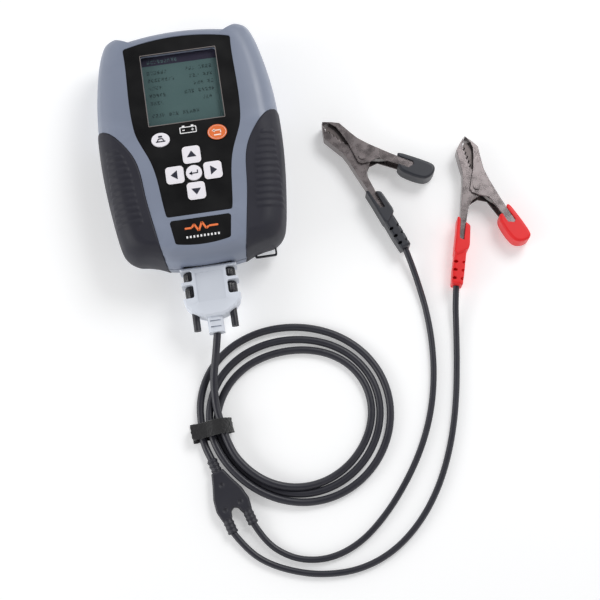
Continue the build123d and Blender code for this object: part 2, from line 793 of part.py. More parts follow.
# ---------------------------------------------------------------- cables
MAIN_ROUTE = [
    (0.0, CABLE_EXIT_Y, PORT_Z),
    (-1.9, -136.5, 17.5),
    (-4.6, -146.5, 13.0),
    (-7.0, -156.5, 9.5),
    (-7.7, -167.0, 8.6),
]
RED_ROUTE = [
    (-7.8, -256.4, SPLIT_AXIS_Z),
    (-2.0, -266.2, 2.7),
    (9.0, -277.4, 2.2),
    (26.0, -286.0, 2.2),
    (46.0, -291.4, 2.2),
    (70.0, -291.6, 2.2),
    (93.0, -283.4, 2.2),
    (113.0, -267.5, 2.2),
    (129.3, -246.0, 2.2),
    (141.5, -220.0, 2.2),
    (149.6, -193.0, 2.2),
    (155.0, -165.5, 2.2),
    (158.4, -143.0, 3.0),
    (160.2, -128.5, 5.4),
    (162.7, -116.6, CLIP_Z),
]
BLACK_ROUTE = [
    (5.8, -252.2, SPLIT_AXIS_Z),
    (10.2, -261.8, 2.7),
    (19.2, -272.4, 2.2),
    (34.0, -280.4, 2.2),
    (53.0, -281.8, 2.2),
    (73.0, -274.6, 2.2),
    (91.0, -260.0, 2.2),
    (107.0, -242.0, 2.2),
    (121.0, -221.5, 2.2),
    (131.5, -199.0, 2.2),
    (138.0, -175.0, 2.2),
    (140.8, -151.0, 2.2),
    (140.6, -129.0, 2.3),
    (138.4, -111.0, 3.0),
    (136.0, -97.5, 5.4),
    (133.3, -85.8, CLIP_Z),
]


def corner_radii(route):
    """The largest arc that each corner's two runs allow, by the 0.45 rule."""
    radii = []
    for before, at, after in zip(route, route[1:], route[2:]):
        into = Vector(*at) - Vector(*before)
        out = Vector(*after) - Vector(*at)
        half_turn = math.radians(into.get_angle(out)) / 2
        radii.append(0.45 * min(into.length, out.length) / math.tan(half_turn))
    return radii


def cord_tube(route, diameter):
    """Tube of straight runs and tangent arcs along a route."""
    radii = corner_radii(route)
    with BuildPart() as tube:
        with BuildLine() as path:
            FilletPolyline(*route, radius=radii)
        start = path.wire() ^ 0
        with BuildSketch(Plane(start.position, z_dir=start.z_axis.direction)):
            Circle(diameter / 2)
        sweep(path=path.wire())
    length = path.wire().length
    share = tube.part.volume / (length * math.pi * diameter**2 / 4)
    print(f"cord {length:.0f} mm, volume share {share:.4f}, radii {[round(r) for r in radii]}")
    return tube


main_cable = cord_tube(MAIN_ROUTE, MAIN_CABLE_D)
finish(main_cable, "main_cable")
red_lead = cord_tube(RED_ROUTE, LEAD_D)
finish(red_lead, "red_lead")
black_lead = cord_tube(BLACK_ROUTE, LEAD_D)
finish(black_lead, "black_lead")


def strand_radius(turn):
    """Distance of the wound cable from the coil's centre after so many turns.

    The turns widen steadily, lie a little oval, and are gathered where the tie is.
    """
    phase = 2 * math.pi * turn
    radius = 45.4 + 4.5 * turn + 0.6 * turn**2
    radius += (0.1 - 0.4 * turn) * math.cos(phase) + (1.6 - 1.2 * turn) * math.sin(phase)
    radius += (2.4 - 0.4 * turn) * math.cos(2 * phase) + (1.2 - turn) * math.sin(2 * phase)
    radius -= 0.9 * math.sin(3 * phase)
    gather = 0.25 * math.exp(-(((turn - round(turn)) / 0.045) ** 2))
    return radius + gather * (60.0 - radius)


def strand_point(turn, outwards):
    """Point beside the wound cable; turns start at the tie and go towards -Y first."""
    radius = strand_radius(turn) + outwards
    phase = 2 * math.pi * turn
    return (COIL_X - radius * math.cos(phase), COIL_Y - radius * math.sin(phase))


TIE_TURN = 4.0
TIE_X = -13.5
TIE_Y = COIL_Y
TIE_W = 8.5
TIE_T = 0.9
TIE_HALF = 10.8  # half length of the room inside the tie
tie_plane = Plane((TIE_X, TIE_Y, 0), x_dir=(1, 0, 0), z_dir=(0, 0, 1)).rotated((0, 0, TIE_TURN))
LUMP_TOP = COIL_H + MAIN_CABLE_D + 0.1

with BuildPart() as cable_coil:
    outer = [strand_point(2 + i / STRAND_POINTS, MAIN_CABLE_D / 2) for i in range(13)]
    inner = [strand_point(i / STRAND_POINTS, -MAIN_CABLE_D / 2) for i in range(13)]
    with BuildSketch():
        with BuildLine():
            Spline(outer)
            Line(outer[-1], outer[0])
        make_face()
        with BuildLine():
            Spline(inner)
            Line(inner[-1], inner[0])
        make_face(mode=Mode.SUBTRACT)
    extrude(amount=COIL_H)
    with BuildSketch(Plane.XY.offset(COIL_H)):
        with Locations((-7.7, -183.5)):
            Rectangle(5.2, 33.0)
    extrude(amount=LUMP_TOP - COIL_H)
    with BuildSketch(tie_plane):
        Rectangle(2 * TIE_HALF + 20, TIE_W + 0.6)
    extrude(amount=TIE_T + 0.2, mode=Mode.SUBTRACT)
    with BuildSketch(Plane.XY.offset(SPLIT_AXIS_Z - MAIN_CABLE_D / 2)):
        with BuildLine():
            Polyline(
                (-21.8, COIL_Y),
                (-21.6, -195.0),
                (-18.0, -206.9),
                (-13.2, -206.9),
                (-16.6, -195.0),
                (-16.8, COIL_Y),
                close=True,
            )
        make_face()
    extrude(amount=MAIN_CABLE_D - 0.2)
finish(cable_coil, "cable_coil")

with BuildPart() as coil_tie:
    with BuildSketch(Plane(tie_plane.origin, x_dir=tie_plane.x_dir, z_dir=-tie_plane.y_dir)):
        with Locations((0, (LUMP_TOP + 2 * TIE_T) / 2 + 0.15)):
            RectangleRounded(2 * (TIE_HALF + TIE_T), LUMP_TOP + 2 * TIE_T, 2.0)
            RectangleRounded(2 * TIE_HALF, LUMP_TOP + 0.15, 1.2, mode=Mode.SUBTRACT)
    extrude(amount=TIE_W / 2, both=True)
finish(coil_tie, "coil_tie")


# ---------------------------------------------------------------- splitter
def splitter_point(along, across):
    """World place of a point given along the splitter's axis and across it."""
    turn = math.radians(SPLIT_TURN)
    return (
        SPLIT_X + along * math.sin(turn) + across * math.cos(turn),
        SPLIT_Y - along * math.cos(turn) + across * math.sin(turn),
    )


def splitter_plane(along, across):
    """Plane across the splitter's axis, facing away from its neck."""
    x, y = splitter_point(along, across)
    turn = math.radians(SPLIT_TURN)
    return Plane((x, y, SPLIT_AXIS_Z), x_dir=(0, 0, 1), z_dir=(math.sin(turn), -math.cos(turn), 0))


SPLITTER_SIDE = [(9.0, 4.2), (16.0, 6.6), (25.0, 10.2), (33.0, 11.6), (40.0, 10.4)]
SPLITTER_INNER = [(40.0, 3.6), (36.0, 2.4), (34.6, 0.0)]
SPLITTER_LEG = 7.1  # each leg's distance from the axis
SPLITTER_TOP = 7.2

with BuildPart() as splitter:
    half = SPLITTER_SIDE + SPLITTER_INNER
    outline = half + [(along, -across) for along, across in reversed(half[:-1])]
    with BuildSketch():
        with BuildLine():
            Polyline(*[splitter_point(along, across) for along, across in outline], close=True)
        make_face()
    extrude(amount=SPLITTER_TOP)
    chamfer(splitter.edges().group_by(Axis.Z)[-1], length=1.0)
    with BuildSketch(splitter_plane(0, 0)):
        Circle(3.1)
    extrude(amount=12.0)
    for along in (1.6, 4.6, 7.6):
        with BuildSketch(splitter_plane(along - 0.6, 0)):
            Circle(3.6)
        extrude(amount=1.2)
    for hand in (-1, 1):
        with BuildSketch(splitter_plane(36.0, hand * SPLITTER_LEG)):
            Circle(3.1)
        extrude(amount=13.5)
        for along in (42.5, 45.5, 48.5):
            with BuildSketch(splitter_plane(along - 0.6, hand * SPLITTER_LEG)):
                Circle(3.5)
            extrude(amount=1.2)
finish(splitter, "splitter")

# ---------------------------------------------------------------- battery clips
# Each clip lies on its side. Its own frame has the rivet at the origin and +Y towards
# the tip; the fixed jaw carries the lead's boot and the moving jaw is the lever.
FIXED_WALL = [
    (0.0, 37.0),
    (-4.0, 32.6),
    (-7.3, 28.5),
    (-7.2, 20.0),
    (-6.9, 12.0),
    (-8.3, 5.5),
    (-10.6, -1.5),
    (-13.9, -12.5),
    (-17.6, -25.0),
    (-20.5, -34.0),
    (-17.5, -35.5),
    (-13.2, -24.0),
    (-7.9, -10.8),
    (-4.4, -8.4),
    (-0.5, -7.0),
    (3.5, -4.5),
    (4.5, 0.0),
    (2.5, 5.0),
    (0.6, 12.0),
]
MOVING_WALL = [
    (0.4, 37.0),
    (4.7, 32.0),
    (7.6, 27.8),
    (7.5, 16.0),
    (7.7, 11.0),
    (9.6, 2.5),
    (12.0, -5.5),
    (13.6, -10.8),
    (16.3, -19.0),
    (20.0, -29.0),
    (23.0, -37.0),
    (20.0, -40.0),
    (16.0, -36.0),
    (12.2, -22.5),
    (6.2, -9.0),
    (-0.7, -6.0),
    (-4.1, -3.6),
    (-5.1, -0.9),
    (-3.8, 2.8),
    (0.4, 12.9),
    (2.5, 20.5),
    (3.9, 27.5),
    (3.0, 31.9),
]
TEETH = 6
TOOTH_FOOT = (0.3, 13.4)  # first and last points of the row of teeth
TOOTH_TIP = (-1.4, 32.5)
TOOTH_H = 1.3
TIP_GAP = 0.45  # between the closed jaws
CONTACT_BACK = [(2.9, 32.5), (6.5, 27.8), (6.4, 16.0), (4.6, 13.4)]
CONTACT_HALF = 3.2

SLEEVE_EDGE = [
    (16.0, -20.0),
    (18.6, -17.0),
    (23.5, -28.0),
    (26.8, -36.0),
    (27.0, -40.5),
    (24.0, -43.2),
    (18.6, -44.0),
    (14.4, -41.3),
    (11.3, -34.5),
    (9.4, -27.0),
    (10.6, -22.5),
]
BOOT_EDGE = [
    (-15.0, -21.0),
    (-17.9, -18.0),
    (-20.5, -27.0),
    (-25.5, -40.0),
    (-29.5, -52.0),
    (-33.0, -62.5),
    (-25.5, -65.6),
    (-21.5, -54.5),
    (-17.8, -44.5),
    (-14.8, -40.0),
    (-10.9, -26.0),
    (-12.2, -23.5),
]
BOOT_HOLES = [
    (-26.2, -48.6),
    (-28.0, -54.0),
    (-29.8, -59.4),
    (-21.0, -50.4),
    (-22.9, -55.8),
    (-24.9, -61.2),
]
BOOT_TURN = 19.0  # degrees, the boot's long axis from -Y towards -X
GRIP_HALF = 7.2  # half thickness of the boot and the sleeve
SPRING_HALF = 3.6
FIXED_SPRING_LEG = [(-1.6, -3.2), (-3.4, -0.6), (-12.2, -15.6), (-10.8, -16.4)]
MOVING_SPRING_LEG = [(3.4, -0.6), (1.6, -3.2), (10.4, -13.2), (11.6, -12.0)]


def zigzag(start, end, count, height):
    """Saw teeth from start to end, standing out to the left of the way."""
    sx, sy = start
    run_x, run_y = end[0] - sx, end[1] - sy
    length = math.hypot(run_x, run_y)
    points = []
    for i in range(count):
        points.append((sx + run_x * i / count, sy + run_y * i / count))
        mid = (i + 0.5) / count
        points.append(
            (sx + run_x * mid - run_y / length * height, sy + run_y * mid + run_x / length * height)
        )
    points.append(end)
    return points


def clip_plane(place, z):
    """Plane of a clip's own frame at height z."""
    x, y, turn = place
    return Plane((x, y, z), x_dir=(math.cos(math.radians(turn)), math.sin(math.radians(turn)), 0))


def clip_slab(place, points, half, dx=0.0):
    """Slab of a clip's side outline, this far each side of its middle plane."""
    with BuildPart() as slab:
        with BuildSketch(clip_plane(place, CLIP_Z - half)):
            with BuildLine():
                Polyline(*[(x + dx, y) for x, y in points], close=True)
            make_face()
        extrude(amount=2 * half)
    return slab.part


def clip_disc(place, radius, z, height):
    """Disc about the rivet's axis."""
    with BuildPart() as disc:
        with BuildSketch(clip_plane(place, z)):
            Circle(radius)
        extrude(amount=height)
    return disc.part


def channel(place, points, half, spine_shift, hole):
    """Steel channel: two side walls joined by a spine on the outside."""
    with BuildPart() as part:
        add(clip_slab(place, points, half))
        add(clip_slab(place, points, half - PLATE_STEEL, dx=spine_shift), mode=Mode.SUBTRACT)
        add(clip_disc(place, hole, CLIP_Z - half - 1, 2 * half + 2), mode=Mode.SUBTRACT)
    return part


for name, place in CLIP_PLACES.items():
    tooth_line = zigzag(TOOTH_FOOT, TOOTH_TIP, TEETH, TOOTH_H)
    jaw_teeth = [(x - TIP_GAP, y) for x, y in tooth_line]
    contact_teeth = [(x + TIP_GAP, y) for x, y in tooth_line]

    fixed_jaw = channel(place, FIXED_WALL + jaw_teeth, INNER_HALF, PLATE_STEEL, RIVET_R)
    finish(fixed_jaw, f"{name}_fixed_jaw")
    moving_jaw = channel(place, MOVING_WALL, OUTER_HALF, -PLATE_STEEL, RIVET_R + RUNNING_GAP)
    finish(moving_jaw, f"{name}_moving_jaw")

    with BuildPart() as contact:
        add(clip_slab(place, contact_teeth + CONTACT_BACK, CONTACT_HALF))
    finish(contact, f"{name}_contact")

    with BuildPart() as rivet:
        add(clip_disc(place, RIVET_R, CLIP_Z - RIVET_HALF, 2 * RIVET_HALF))
        add(clip_disc(place, RIVET_HEAD_R, CLIP_Z - RIVET_HALF, RIVET_HEAD_T))
        add(clip_disc(place, RIVET_HEAD_R, CLIP_Z + RIVET_HALF - RIVET_HEAD_T, RIVET_HEAD_T))
    finish(rivet, f"{name}_rivet")

    with BuildPart() as spring:
        add(clip_disc(place, 3.5, CLIP_Z - SPRING_HALF, 2 * SPRING_HALF))
        add(clip_slab(place, FIXED_SPRING_LEG, SPRING_HALF - 1.2))
        add(clip_slab(place, MOVING_SPRING_LEG, SPRING_HALF - 1.2))
        add(clip_disc(place, 2.0, CLIP_Z - SPRING_HALF, 2 * SPRING_HALF), mode=Mode.SUBTRACT)
    finish(spring, f"{name}_spring")

    with BuildPart() as boot:
        add(clip_slab(place, BOOT_EDGE, GRIP_HALF))
        add(fixed_jaw.part, mode=Mode.SUBTRACT)
        for z in (CLIP_Z - GRIP_HALF, CLIP_Z + GRIP_HALF - 2.0):
            with BuildSketch(clip_plane(place, z)):
                with Locations(*[Location((x, y, 0), (0, 0, -BOOT_TURN)) for x, y in BOOT_HOLES]):
                    Ellipse(1.5, 1.1)
            extrude(amount=2.0, mode=Mode.SUBTRACT)
    finish(boot, f"{name}_boot")

    with BuildPart() as sleeve:
        add(clip_slab(place, SLEEVE_EDGE, GRIP_HALF))
        add(moving_jaw.part, mode=Mode.SUBTRACT)
    finish(sleeve, f"{name}_sleeve")
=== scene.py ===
import math
import random

import bmesh
import bpy
import numpy as np
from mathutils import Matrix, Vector
from mathutils import noise as mathnoise


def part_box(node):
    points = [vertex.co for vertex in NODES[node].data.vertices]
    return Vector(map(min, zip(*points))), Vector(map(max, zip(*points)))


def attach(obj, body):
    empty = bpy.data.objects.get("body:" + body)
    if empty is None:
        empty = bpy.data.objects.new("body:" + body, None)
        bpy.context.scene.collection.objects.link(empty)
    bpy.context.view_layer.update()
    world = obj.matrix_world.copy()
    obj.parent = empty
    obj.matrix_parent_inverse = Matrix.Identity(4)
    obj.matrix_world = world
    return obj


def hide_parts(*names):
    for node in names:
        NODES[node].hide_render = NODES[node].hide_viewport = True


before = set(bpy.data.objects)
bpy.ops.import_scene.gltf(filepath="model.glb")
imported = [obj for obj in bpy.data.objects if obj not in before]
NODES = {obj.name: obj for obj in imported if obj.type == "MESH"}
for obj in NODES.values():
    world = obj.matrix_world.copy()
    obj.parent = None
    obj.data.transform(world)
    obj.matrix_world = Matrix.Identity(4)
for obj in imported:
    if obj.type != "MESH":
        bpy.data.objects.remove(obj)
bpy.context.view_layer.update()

# Looks of the battery tester. Metres, in the CAD frame: the tester lies on its back at the
# origin, its display end towards +Y, and its cable and clips lie beside it on the floor.

MM = 0.001
ROOT = "tester"


# ---------------------------------------------------------------- camera, floor and light
CAMERA_AZIMUTH = math.radians(-8.549)
CAMERA_HEIGHT = math.radians(76.0)
CAMERA_DISTANCE = 0.9
CAMERA_AIM = Vector((0.0577, -0.1088, 0.0))
CAMERA_LENS = 79.9
SENSOR_WIDTH = 36.0
LIT_MIDDLE = (0.04, -0.1, 0.0)
SKY_BRIGHT_UP_TO = 0.62
SKY_DARK_FROM = 0.88
SKY_STRENGTH = 0.84


def aim(obj, place, target):
    """Put an object somewhere and point its -Z at a target."""
    obj.location = place
    obj.rotation_euler = (Vector(target) - Vector(place)).to_track_quat("-Z", "Y").to_euler()


def add_camera():
    back = Vector((
        math.sin(CAMERA_AZIMUTH) * math.cos(CAMERA_HEIGHT),
        -math.cos(CAMERA_AZIMUTH) * math.cos(CAMERA_HEIGHT),
        math.sin(CAMERA_HEIGHT),
    ))
    data = bpy.data.cameras.new("camera")
    data.lens = CAMERA_LENS
    data.sensor_width = SENSOR_WIDTH
    data.clip_start = 0.01
    camera = bpy.data.objects.new("camera", data)
    bpy.context.collection.objects.link(camera)
    aim(camera, CAMERA_AIM + back * CAMERA_DISTANCE, CAMERA_AIM)
    bpy.context.scene.camera = camera


def add_area_light(name, place, target, size, power):
    data = bpy.data.lights.new(name, "AREA")
    data.shape = "RECTANGLE"
    data.size, data.size_y = size
    data.energy = power
    light = bpy.data.objects.new(name, data)
    bpy.context.collection.objects.link(light)
    aim(light, place, target)


def add_studio():
    """Bright sky low down all round and dark overhead, so that flat black faces stay black."""
    world = bpy.data.worlds.new("studio")
    bpy.context.scene.world = world
    world.use_nodes = True
    tree = world.node_tree
    direction = tree.nodes.new("ShaderNodeTexCoord")
    split = tree.nodes.new("ShaderNodeSeparateXYZ")
    sky = tree.nodes.new("ShaderNodeValToRGB")
    tree.links.new(direction.outputs["Generated"], split.inputs["Vector"])
    tree.links.new(split.outputs["Z"], sky.inputs["Fac"])
    tree.links.new(sky.outputs["Color"], tree.nodes["Background"].inputs["Color"])
    sky.color_ramp.elements[0].position = SKY_BRIGHT_UP_TO
    sky.color_ramp.elements[0].color = (1.0, 1.0, 1.0, 1.0)
    sky.color_ramp.elements[1].position = SKY_DARK_FROM
    sky.color_ramp.elements[1].color = (0.10, 0.10, 0.11, 1.0)
    tree.nodes["Background"].inputs["Strength"].default_value = SKY_STRENGTH
    add_area_light("key", (0.62, 0.42, 0.85), LIT_MIDDLE, (0.45, 0.45), 5.2)
    add_area_light("side", (-1.0, -0.15, 0.5), LIT_MIDDLE, (0.7, 0.4), 4.0)
    bpy.context.scene.view_settings.view_transform = "Standard"


# ---------------------------------------------------------------- materials
NOISE_LOW, NOISE_HIGH = 0.3, 0.7  # most of a noise texture's values lie between these
EDGE_START, EDGE_FULL = 0.52, 0.6  # pointiness at which an edge starts to wear, and is worn
WORN_LIGHTER = 1.25
MATERIALS = {}


def srgb(red, green, blue):
    """Linear colour of an 8-bit display colour."""
    out = []
    for value in (red, green, blue):
        value /= 255
        out.append(value / 12.92 if value <= 0.04045 else ((value + 0.055) / 1.055) ** 2.4)
    return (*out, 1.0)


def link(tree, source, target):
    tree.links.new(source, target)


def noise(tree, scale_mm, detail=4.0):
    """Noise in the object's own space, its features about scale_mm across."""
    coordinates = tree.nodes.new("ShaderNodeTexCoord")
    texture = tree.nodes.new("ShaderNodeTexNoise")
    texture.inputs["Scale"].default_value = 1.0 / (scale_mm * MM)
    texture.inputs["Detail"].default_value = detail
    link(tree, coordinates.outputs["Object"], texture.inputs["Vector"])
    return texture.outputs["Fac"]


def ramp(tree, value, low, high, at=(NOISE_LOW, NOISE_HIGH)):
    """Colour ramp from low to high over part of a 0 to 1 value."""
    node = tree.nodes.new("ShaderNodeValToRGB")
    node.color_ramp.elements[0].position = at[0]
    node.color_ramp.elements[1].position = at[1]
    node.color_ramp.elements[0].color = low
    node.color_ramp.elements[1].color = high
    link(tree, value, node.inputs["Fac"])
    return node.outputs["Color"]


def spread(tree, value, low, high):
    """A noise value mapped to low..high."""
    node = tree.nodes.new("ShaderNodeMapRange")
    node.inputs["From Min"].default_value = NOISE_LOW
    node.inputs["From Max"].default_value = NOISE_HIGH
    node.inputs["To Min"].default_value = low
    node.inputs["To Max"].default_value = high
    link(tree, value, node.inputs["Value"])
    return node.outputs["Result"]


def shade(colour, factor):
    return (*[min(1.0, c * factor) for c in colour[:3]], 1.0)


def surface(
    name,
    colour,
    rough,
    *,
    grain=0.35,
    bump=0.02,
    mottle=0.06,
    patch=14.0,
    rough_vary=0.06,
    metal=0.0,
    sheen=0.0,
    specular=0.5,
    worn=0.5,
):
    """Material with mottled colour, uneven gloss, fine grain and worn, lighter edges.

    grain, patch and bump are millimetres: the grain's and the mottling's size, and its depth.
    """
    mat = bpy.data.materials.new(name)
    mat.use_nodes = True
    tree = mat.node_tree
    shader = tree.nodes["Principled BSDF"]
    broad = noise(tree, patch, 3.0)
    fine = noise(tree, grain, 2.0)
    mixed = ramp(tree, broad, shade(colour, 1 - mottle), shade(colour, 1 + mottle))
    geometry = tree.nodes.new("ShaderNodeNewGeometry")
    edge = ramp(
        tree, geometry.outputs["Pointiness"], (0, 0, 0, 1), (1, 1, 1, 1), (EDGE_START, EDGE_FULL)
    )
    share = tree.nodes.new("ShaderNodeMath")
    share.operation = "MULTIPLY"
    share.inputs[1].default_value = worn
    link(tree, edge, share.inputs[0])
    wear = tree.nodes.new("ShaderNodeMix")
    wear.data_type = "RGBA"
    factor, base, lighter = wear.inputs[0], wear.inputs[6], wear.inputs[7]
    lighter.default_value = shade(colour, WORN_LIGHTER)
    link(tree, share.outputs["Value"], factor)
    link(tree, mixed, base)
    link(tree, wear.outputs[2], shader.inputs["Base Color"])
    gloss = spread(tree, broad, rough - rough_vary, rough + rough_vary)
    link(tree, gloss, shader.inputs["Roughness"])
    relief = tree.nodes.new("ShaderNodeBump")
    relief.inputs["Strength"].default_value = 0.35
    relief.inputs["Distance"].default_value = bump * MM
    link(tree, fine, relief.inputs["Height"])
    link(tree, relief.outputs["Normal"], shader.inputs["Normal"])
    shader.inputs["Metallic"].default_value = metal
    shader.inputs["Sheen Weight"].default_value = sheen
    shader.inputs["Specular IOR Level"].default_value = specular
    MATERIALS[name] = mat
    return mat


SHELL_GREY = srgb(126, 134, 152)
GRIP_GREY = srgb(42, 42, 51)
CABLE_GREY = srgb(44, 44, 52)
RED = srgb(232, 40, 42)

surface("shell", SHELL_GREY, 0.42, grain=0.25, bump=0.02, mottle=0.02, patch=40)
surface("grip", GRIP_GREY, 0.55, grain=0.2, bump=0.03, mottle=0.05, specular=0.3)
surface("seal", srgb(30, 30, 32), 0.6)
surface(
    "overlay", srgb(15, 15, 16), 0.33, grain=0.5, bump=0.006, mottle=0.04, specular=0.35,
)
surface("display", srgb(96, 124, 124), 0.35, grain=0.3, bump=0.004, mottle=0.03)
surface("display_bar", srgb(58, 54, 74), 0.35, bump=0.002, mottle=0.03)
surface("display_ink", srgb(46, 60, 64), 0.4, bump=0.002, mottle=0.05)
surface("key_white", srgb(243, 240, 246), 0.32, bump=0.004, mottle=0.01)
surface("key_orange", srgb(231, 118, 62), 0.32, bump=0.004, mottle=0.03)
surface("key_rim", srgb(244, 178, 150), 0.35, bump=0.004, mottle=0.03)
surface("orange_ink", srgb(236, 120, 66), 0.45, bump=0.003, mottle=0.03)
surface("pale_ink", srgb(250, 226, 214), 0.45, bump=0.003, mottle=0.02)
# pale colour of the thin ring round the display window: a painted highlight of the light on the
# window's raised edge
surface("window_edge_highlight", srgb(122, 116, 114), 0.35, bump=0.003, mottle=0.03)
surface("white_ink", srgb(238, 238, 240), 0.45, bump=0.003, mottle=0.01)
surface("dark_ink", srgb(34, 36, 50), 0.45, bump=0.003, mottle=0.05)
surface("hood", srgb(210, 215, 224), 0.48, grain=0.3, bump=0.02, mottle=0.015)
surface("jackscrew", srgb(40, 40, 46), 0.35, bump=0.01)
surface("knob", srgb(30, 30, 35), 0.24, grain=0.4, bump=0.006, mottle=0.05)
surface("steel", srgb(170, 168, 166), 0.3, metal=1.0, bump=0.006, patch=5, worn=0.0)
surface("dark_steel", srgb(60, 60, 66), 0.35, metal=0.8, bump=0.008)
surface("gold", srgb(214, 176, 96), 0.3, metal=1.0, bump=0.003)
surface(
    "clip", srgb(140, 132, 132), 0.27, metal=0.85, bump=0.012, mottle=0.07, patch=6,
    rough_vary=0.07, worn=0.0,
)
surface("contact", srgb(104, 97, 96), 0.4, metal=0.85, bump=0.02, mottle=0.12, patch=3)
surface("cable", CABLE_GREY, 0.4, grain=0.5, bump=0.012, mottle=0.05, patch=9)
surface("splitter", srgb(42, 42, 50), 0.46, grain=0.3, bump=0.02, mottle=0.05)
surface("vinyl_black", srgb(44, 46, 53), 0.42, grain=0.4, bump=0.02, mottle=0.06)
surface("vinyl_red", RED, 0.4, grain=0.4, bump=0.02, mottle=0.05, specular=0.35)
surface("board", srgb(24, 84, 52), 0.4, bump=0.02, mottle=0.1, patch=3)
surface("chip", srgb(26, 26, 28), 0.5)
surface("heat_sink", srgb(150, 146, 140), 0.4, metal=0.9)
surface("silicone", srgb(205, 205, 210), 0.5)
surface("foot", srgb(35, 35, 38), 0.7, bump=0.04)


def add_glass():
    """Thin clear lens: mostly see-through, with a glossy face."""
    mat = bpy.data.materials.new("window")
    mat.use_nodes = True
    tree = mat.node_tree
    shader = tree.nodes["Principled BSDF"]
    tint = ramp(tree, noise(tree, 20.0), srgb(20, 26, 27), srgb(30, 36, 37))
    link(tree, tint, shader.inputs["Base Color"])
    link(tree, spread(tree, noise(tree, 9.0), 0.06, 0.12), shader.inputs["Roughness"])
    shader.inputs["Alpha"].default_value = 0.14
    MATERIALS["window"] = mat


add_glass()
# the matted pile of a hook-and-loop strap
surface("strap", srgb(24, 24, 26), 0.85, grain=0.5, bump=0.25, mottle=0.3, patch=1.4, sheen=0.4)

NODE_LOOKS = {
    "front_shell": "shell", "rear_shell": "shell", "left_grip": "grip", "right_grip": "grip",
    "shell_seal": "seal", "overlay_panel": "overlay", "display_window": "window",
    "name_plate": "overlay", "display_module": "display", "main_board": "board",
    "board_chips": "chip", "power_board": "board", "load_resistor": "heat_sink", "buzzer": "chip",
    "keypad_mat": "silicone", "key_contacts": "gold", "socket_shell": "steel",
    "socket_insert": "chip", "socket_contacts": "gold", "socket_standoffs": "steel",
    "case_screws": "steel", "board_screws": "steel", "rear_feet": "foot",
    "strap_loop": "dark_steel", "up_key": "key_rim", "left_key": "key_rim",
    "down_key": "key_rim", "right_key": "key_rim", "enter_key": "key_white",
    "menu_key": "key_white", "escape_key": "key_white", "plug_shell": "steel",
    "plug_insert": "chip", "plug_contacts": "gold", "hood_top": "hood", "hood_bottom": "hood",
    "cable_clamp": "chip", "neck_boot": "hood", "left_jackscrew": "jackscrew",
    "right_jackscrew": "jackscrew", "main_cable": "cable", "cable_coil": "cable",
    "coil_tie": "strap", "splitter": "splitter", "black_lead": "cable", "red_lead": "cable",
}
for clip in ("black", "red"):
    NODE_LOOKS.update({
        f"{clip}_fixed_jaw": "clip", f"{clip}_moving_jaw": "clip", f"{clip}_contact": "contact",
        f"{clip}_rivet": "clip", f"{clip}_spring": "steel", f"{clip}_boot": f"vinyl_{clip}",
        f"{clip}_sleeve": f"vinyl_{clip}",
    })


def paint(obj, look):
    """Give every material slot of an object one look."""
    if not obj.material_slots:
        obj.data.materials.append(MATERIALS[look])
    for slot in obj.material_slots:
        slot.material = MATERIALS[look]


for node, look in NODE_LOOKS.items():
    paint(NODES[node], look)


# ---------------------------------------------------------------- making pieces
def plain_object(name, mesh):
    obj = bpy.data.objects.new(name, mesh)
    bpy.context.collection.objects.link(obj)
    return obj


def new_piece(name, mesh, look, body, replaces=()):
    """Visible piece that rides on a body, in a look, and stands for the nodes it replaces."""
    obj = plain_object(name, mesh)
    paint(obj, look)
    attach(obj, body)
    if replaces:
        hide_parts(*replaces)
    return obj


def finished(obj, name, look, body, replaces=()):
    """Visible piece made from a working object's mesh; the working object goes."""
    mesh = obj.data
    bpy.data.objects.remove(obj)
    new_piece(name, mesh, look, body, replaces)


def apply_modifiers(obj):
    """Keep an object's evaluated mesh and drop its modifiers."""
    graph = bpy.context.evaluated_depsgraph_get()
    mesh = bpy.data.meshes.new_from_object(obj.evaluated_get(graph))
    obj.modifiers.clear()
    obj.data = mesh


def smooth(obj, angle):
    """Smooth shading, sharp only where faces meet at more than angle degrees."""
    mesh = obj.data
    work = bmesh.new()
    work.from_mesh(mesh)
    for face in work.faces:
        face.smooth = True
    limit = math.radians(angle)
    for edge in work.edges:
        edge.smooth = len(edge.link_faces) == 2 and edge.calc_face_angle(0) < limit
    work.to_mesh(mesh)
    work.free()


# ---------------------------------------------------------------- cables
CABLE_R = 2.5
LEAD_R = 2.1
MAIN_ROUTE = [
    (0.0, -0.1275, 0.0190),
    (-0.0019, -0.1365, 0.0175),
    (-0.0046, -0.1465, 0.0130),
    (-0.0070, -0.1565, 0.0096),
    (-0.0077, -0.1670, 0.0082),
    (-0.0076, -0.1775, 0.0077),
]
SPLITTER_ENTRY = [
    (-0.0192, -0.1950, 0.0027),
    (-0.0176, -0.2015, 0.0031),
    (-0.0158, -0.2065, 0.0035),
    (-0.0150, -0.2092, 0.0036),
]
RED_ROUTE = [
    (-0.0078, -0.2564, 0.0036),
    (-0.0020, -0.2662, 0.0027),
    (0.0090, -0.2774, 0.0022),
    (0.0260, -0.2860, 0.0022),
    (0.0460, -0.2914, 0.0022),
    (0.0700, -0.2916, 0.0022),
    (0.0930, -0.2834, 0.0022),
    (0.1130, -0.2675, 0.0022),
    (0.1293, -0.2460, 0.0022),
    (0.1415, -0.2200, 0.0022),
    (0.1496, -0.1930, 0.0022),
    (0.1550, -0.1655, 0.0022),
    (0.1584, -0.1430, 0.0030),
    (0.1602, -0.1285, 0.0054),
    (0.1627, -0.1166, 0.0072),
]
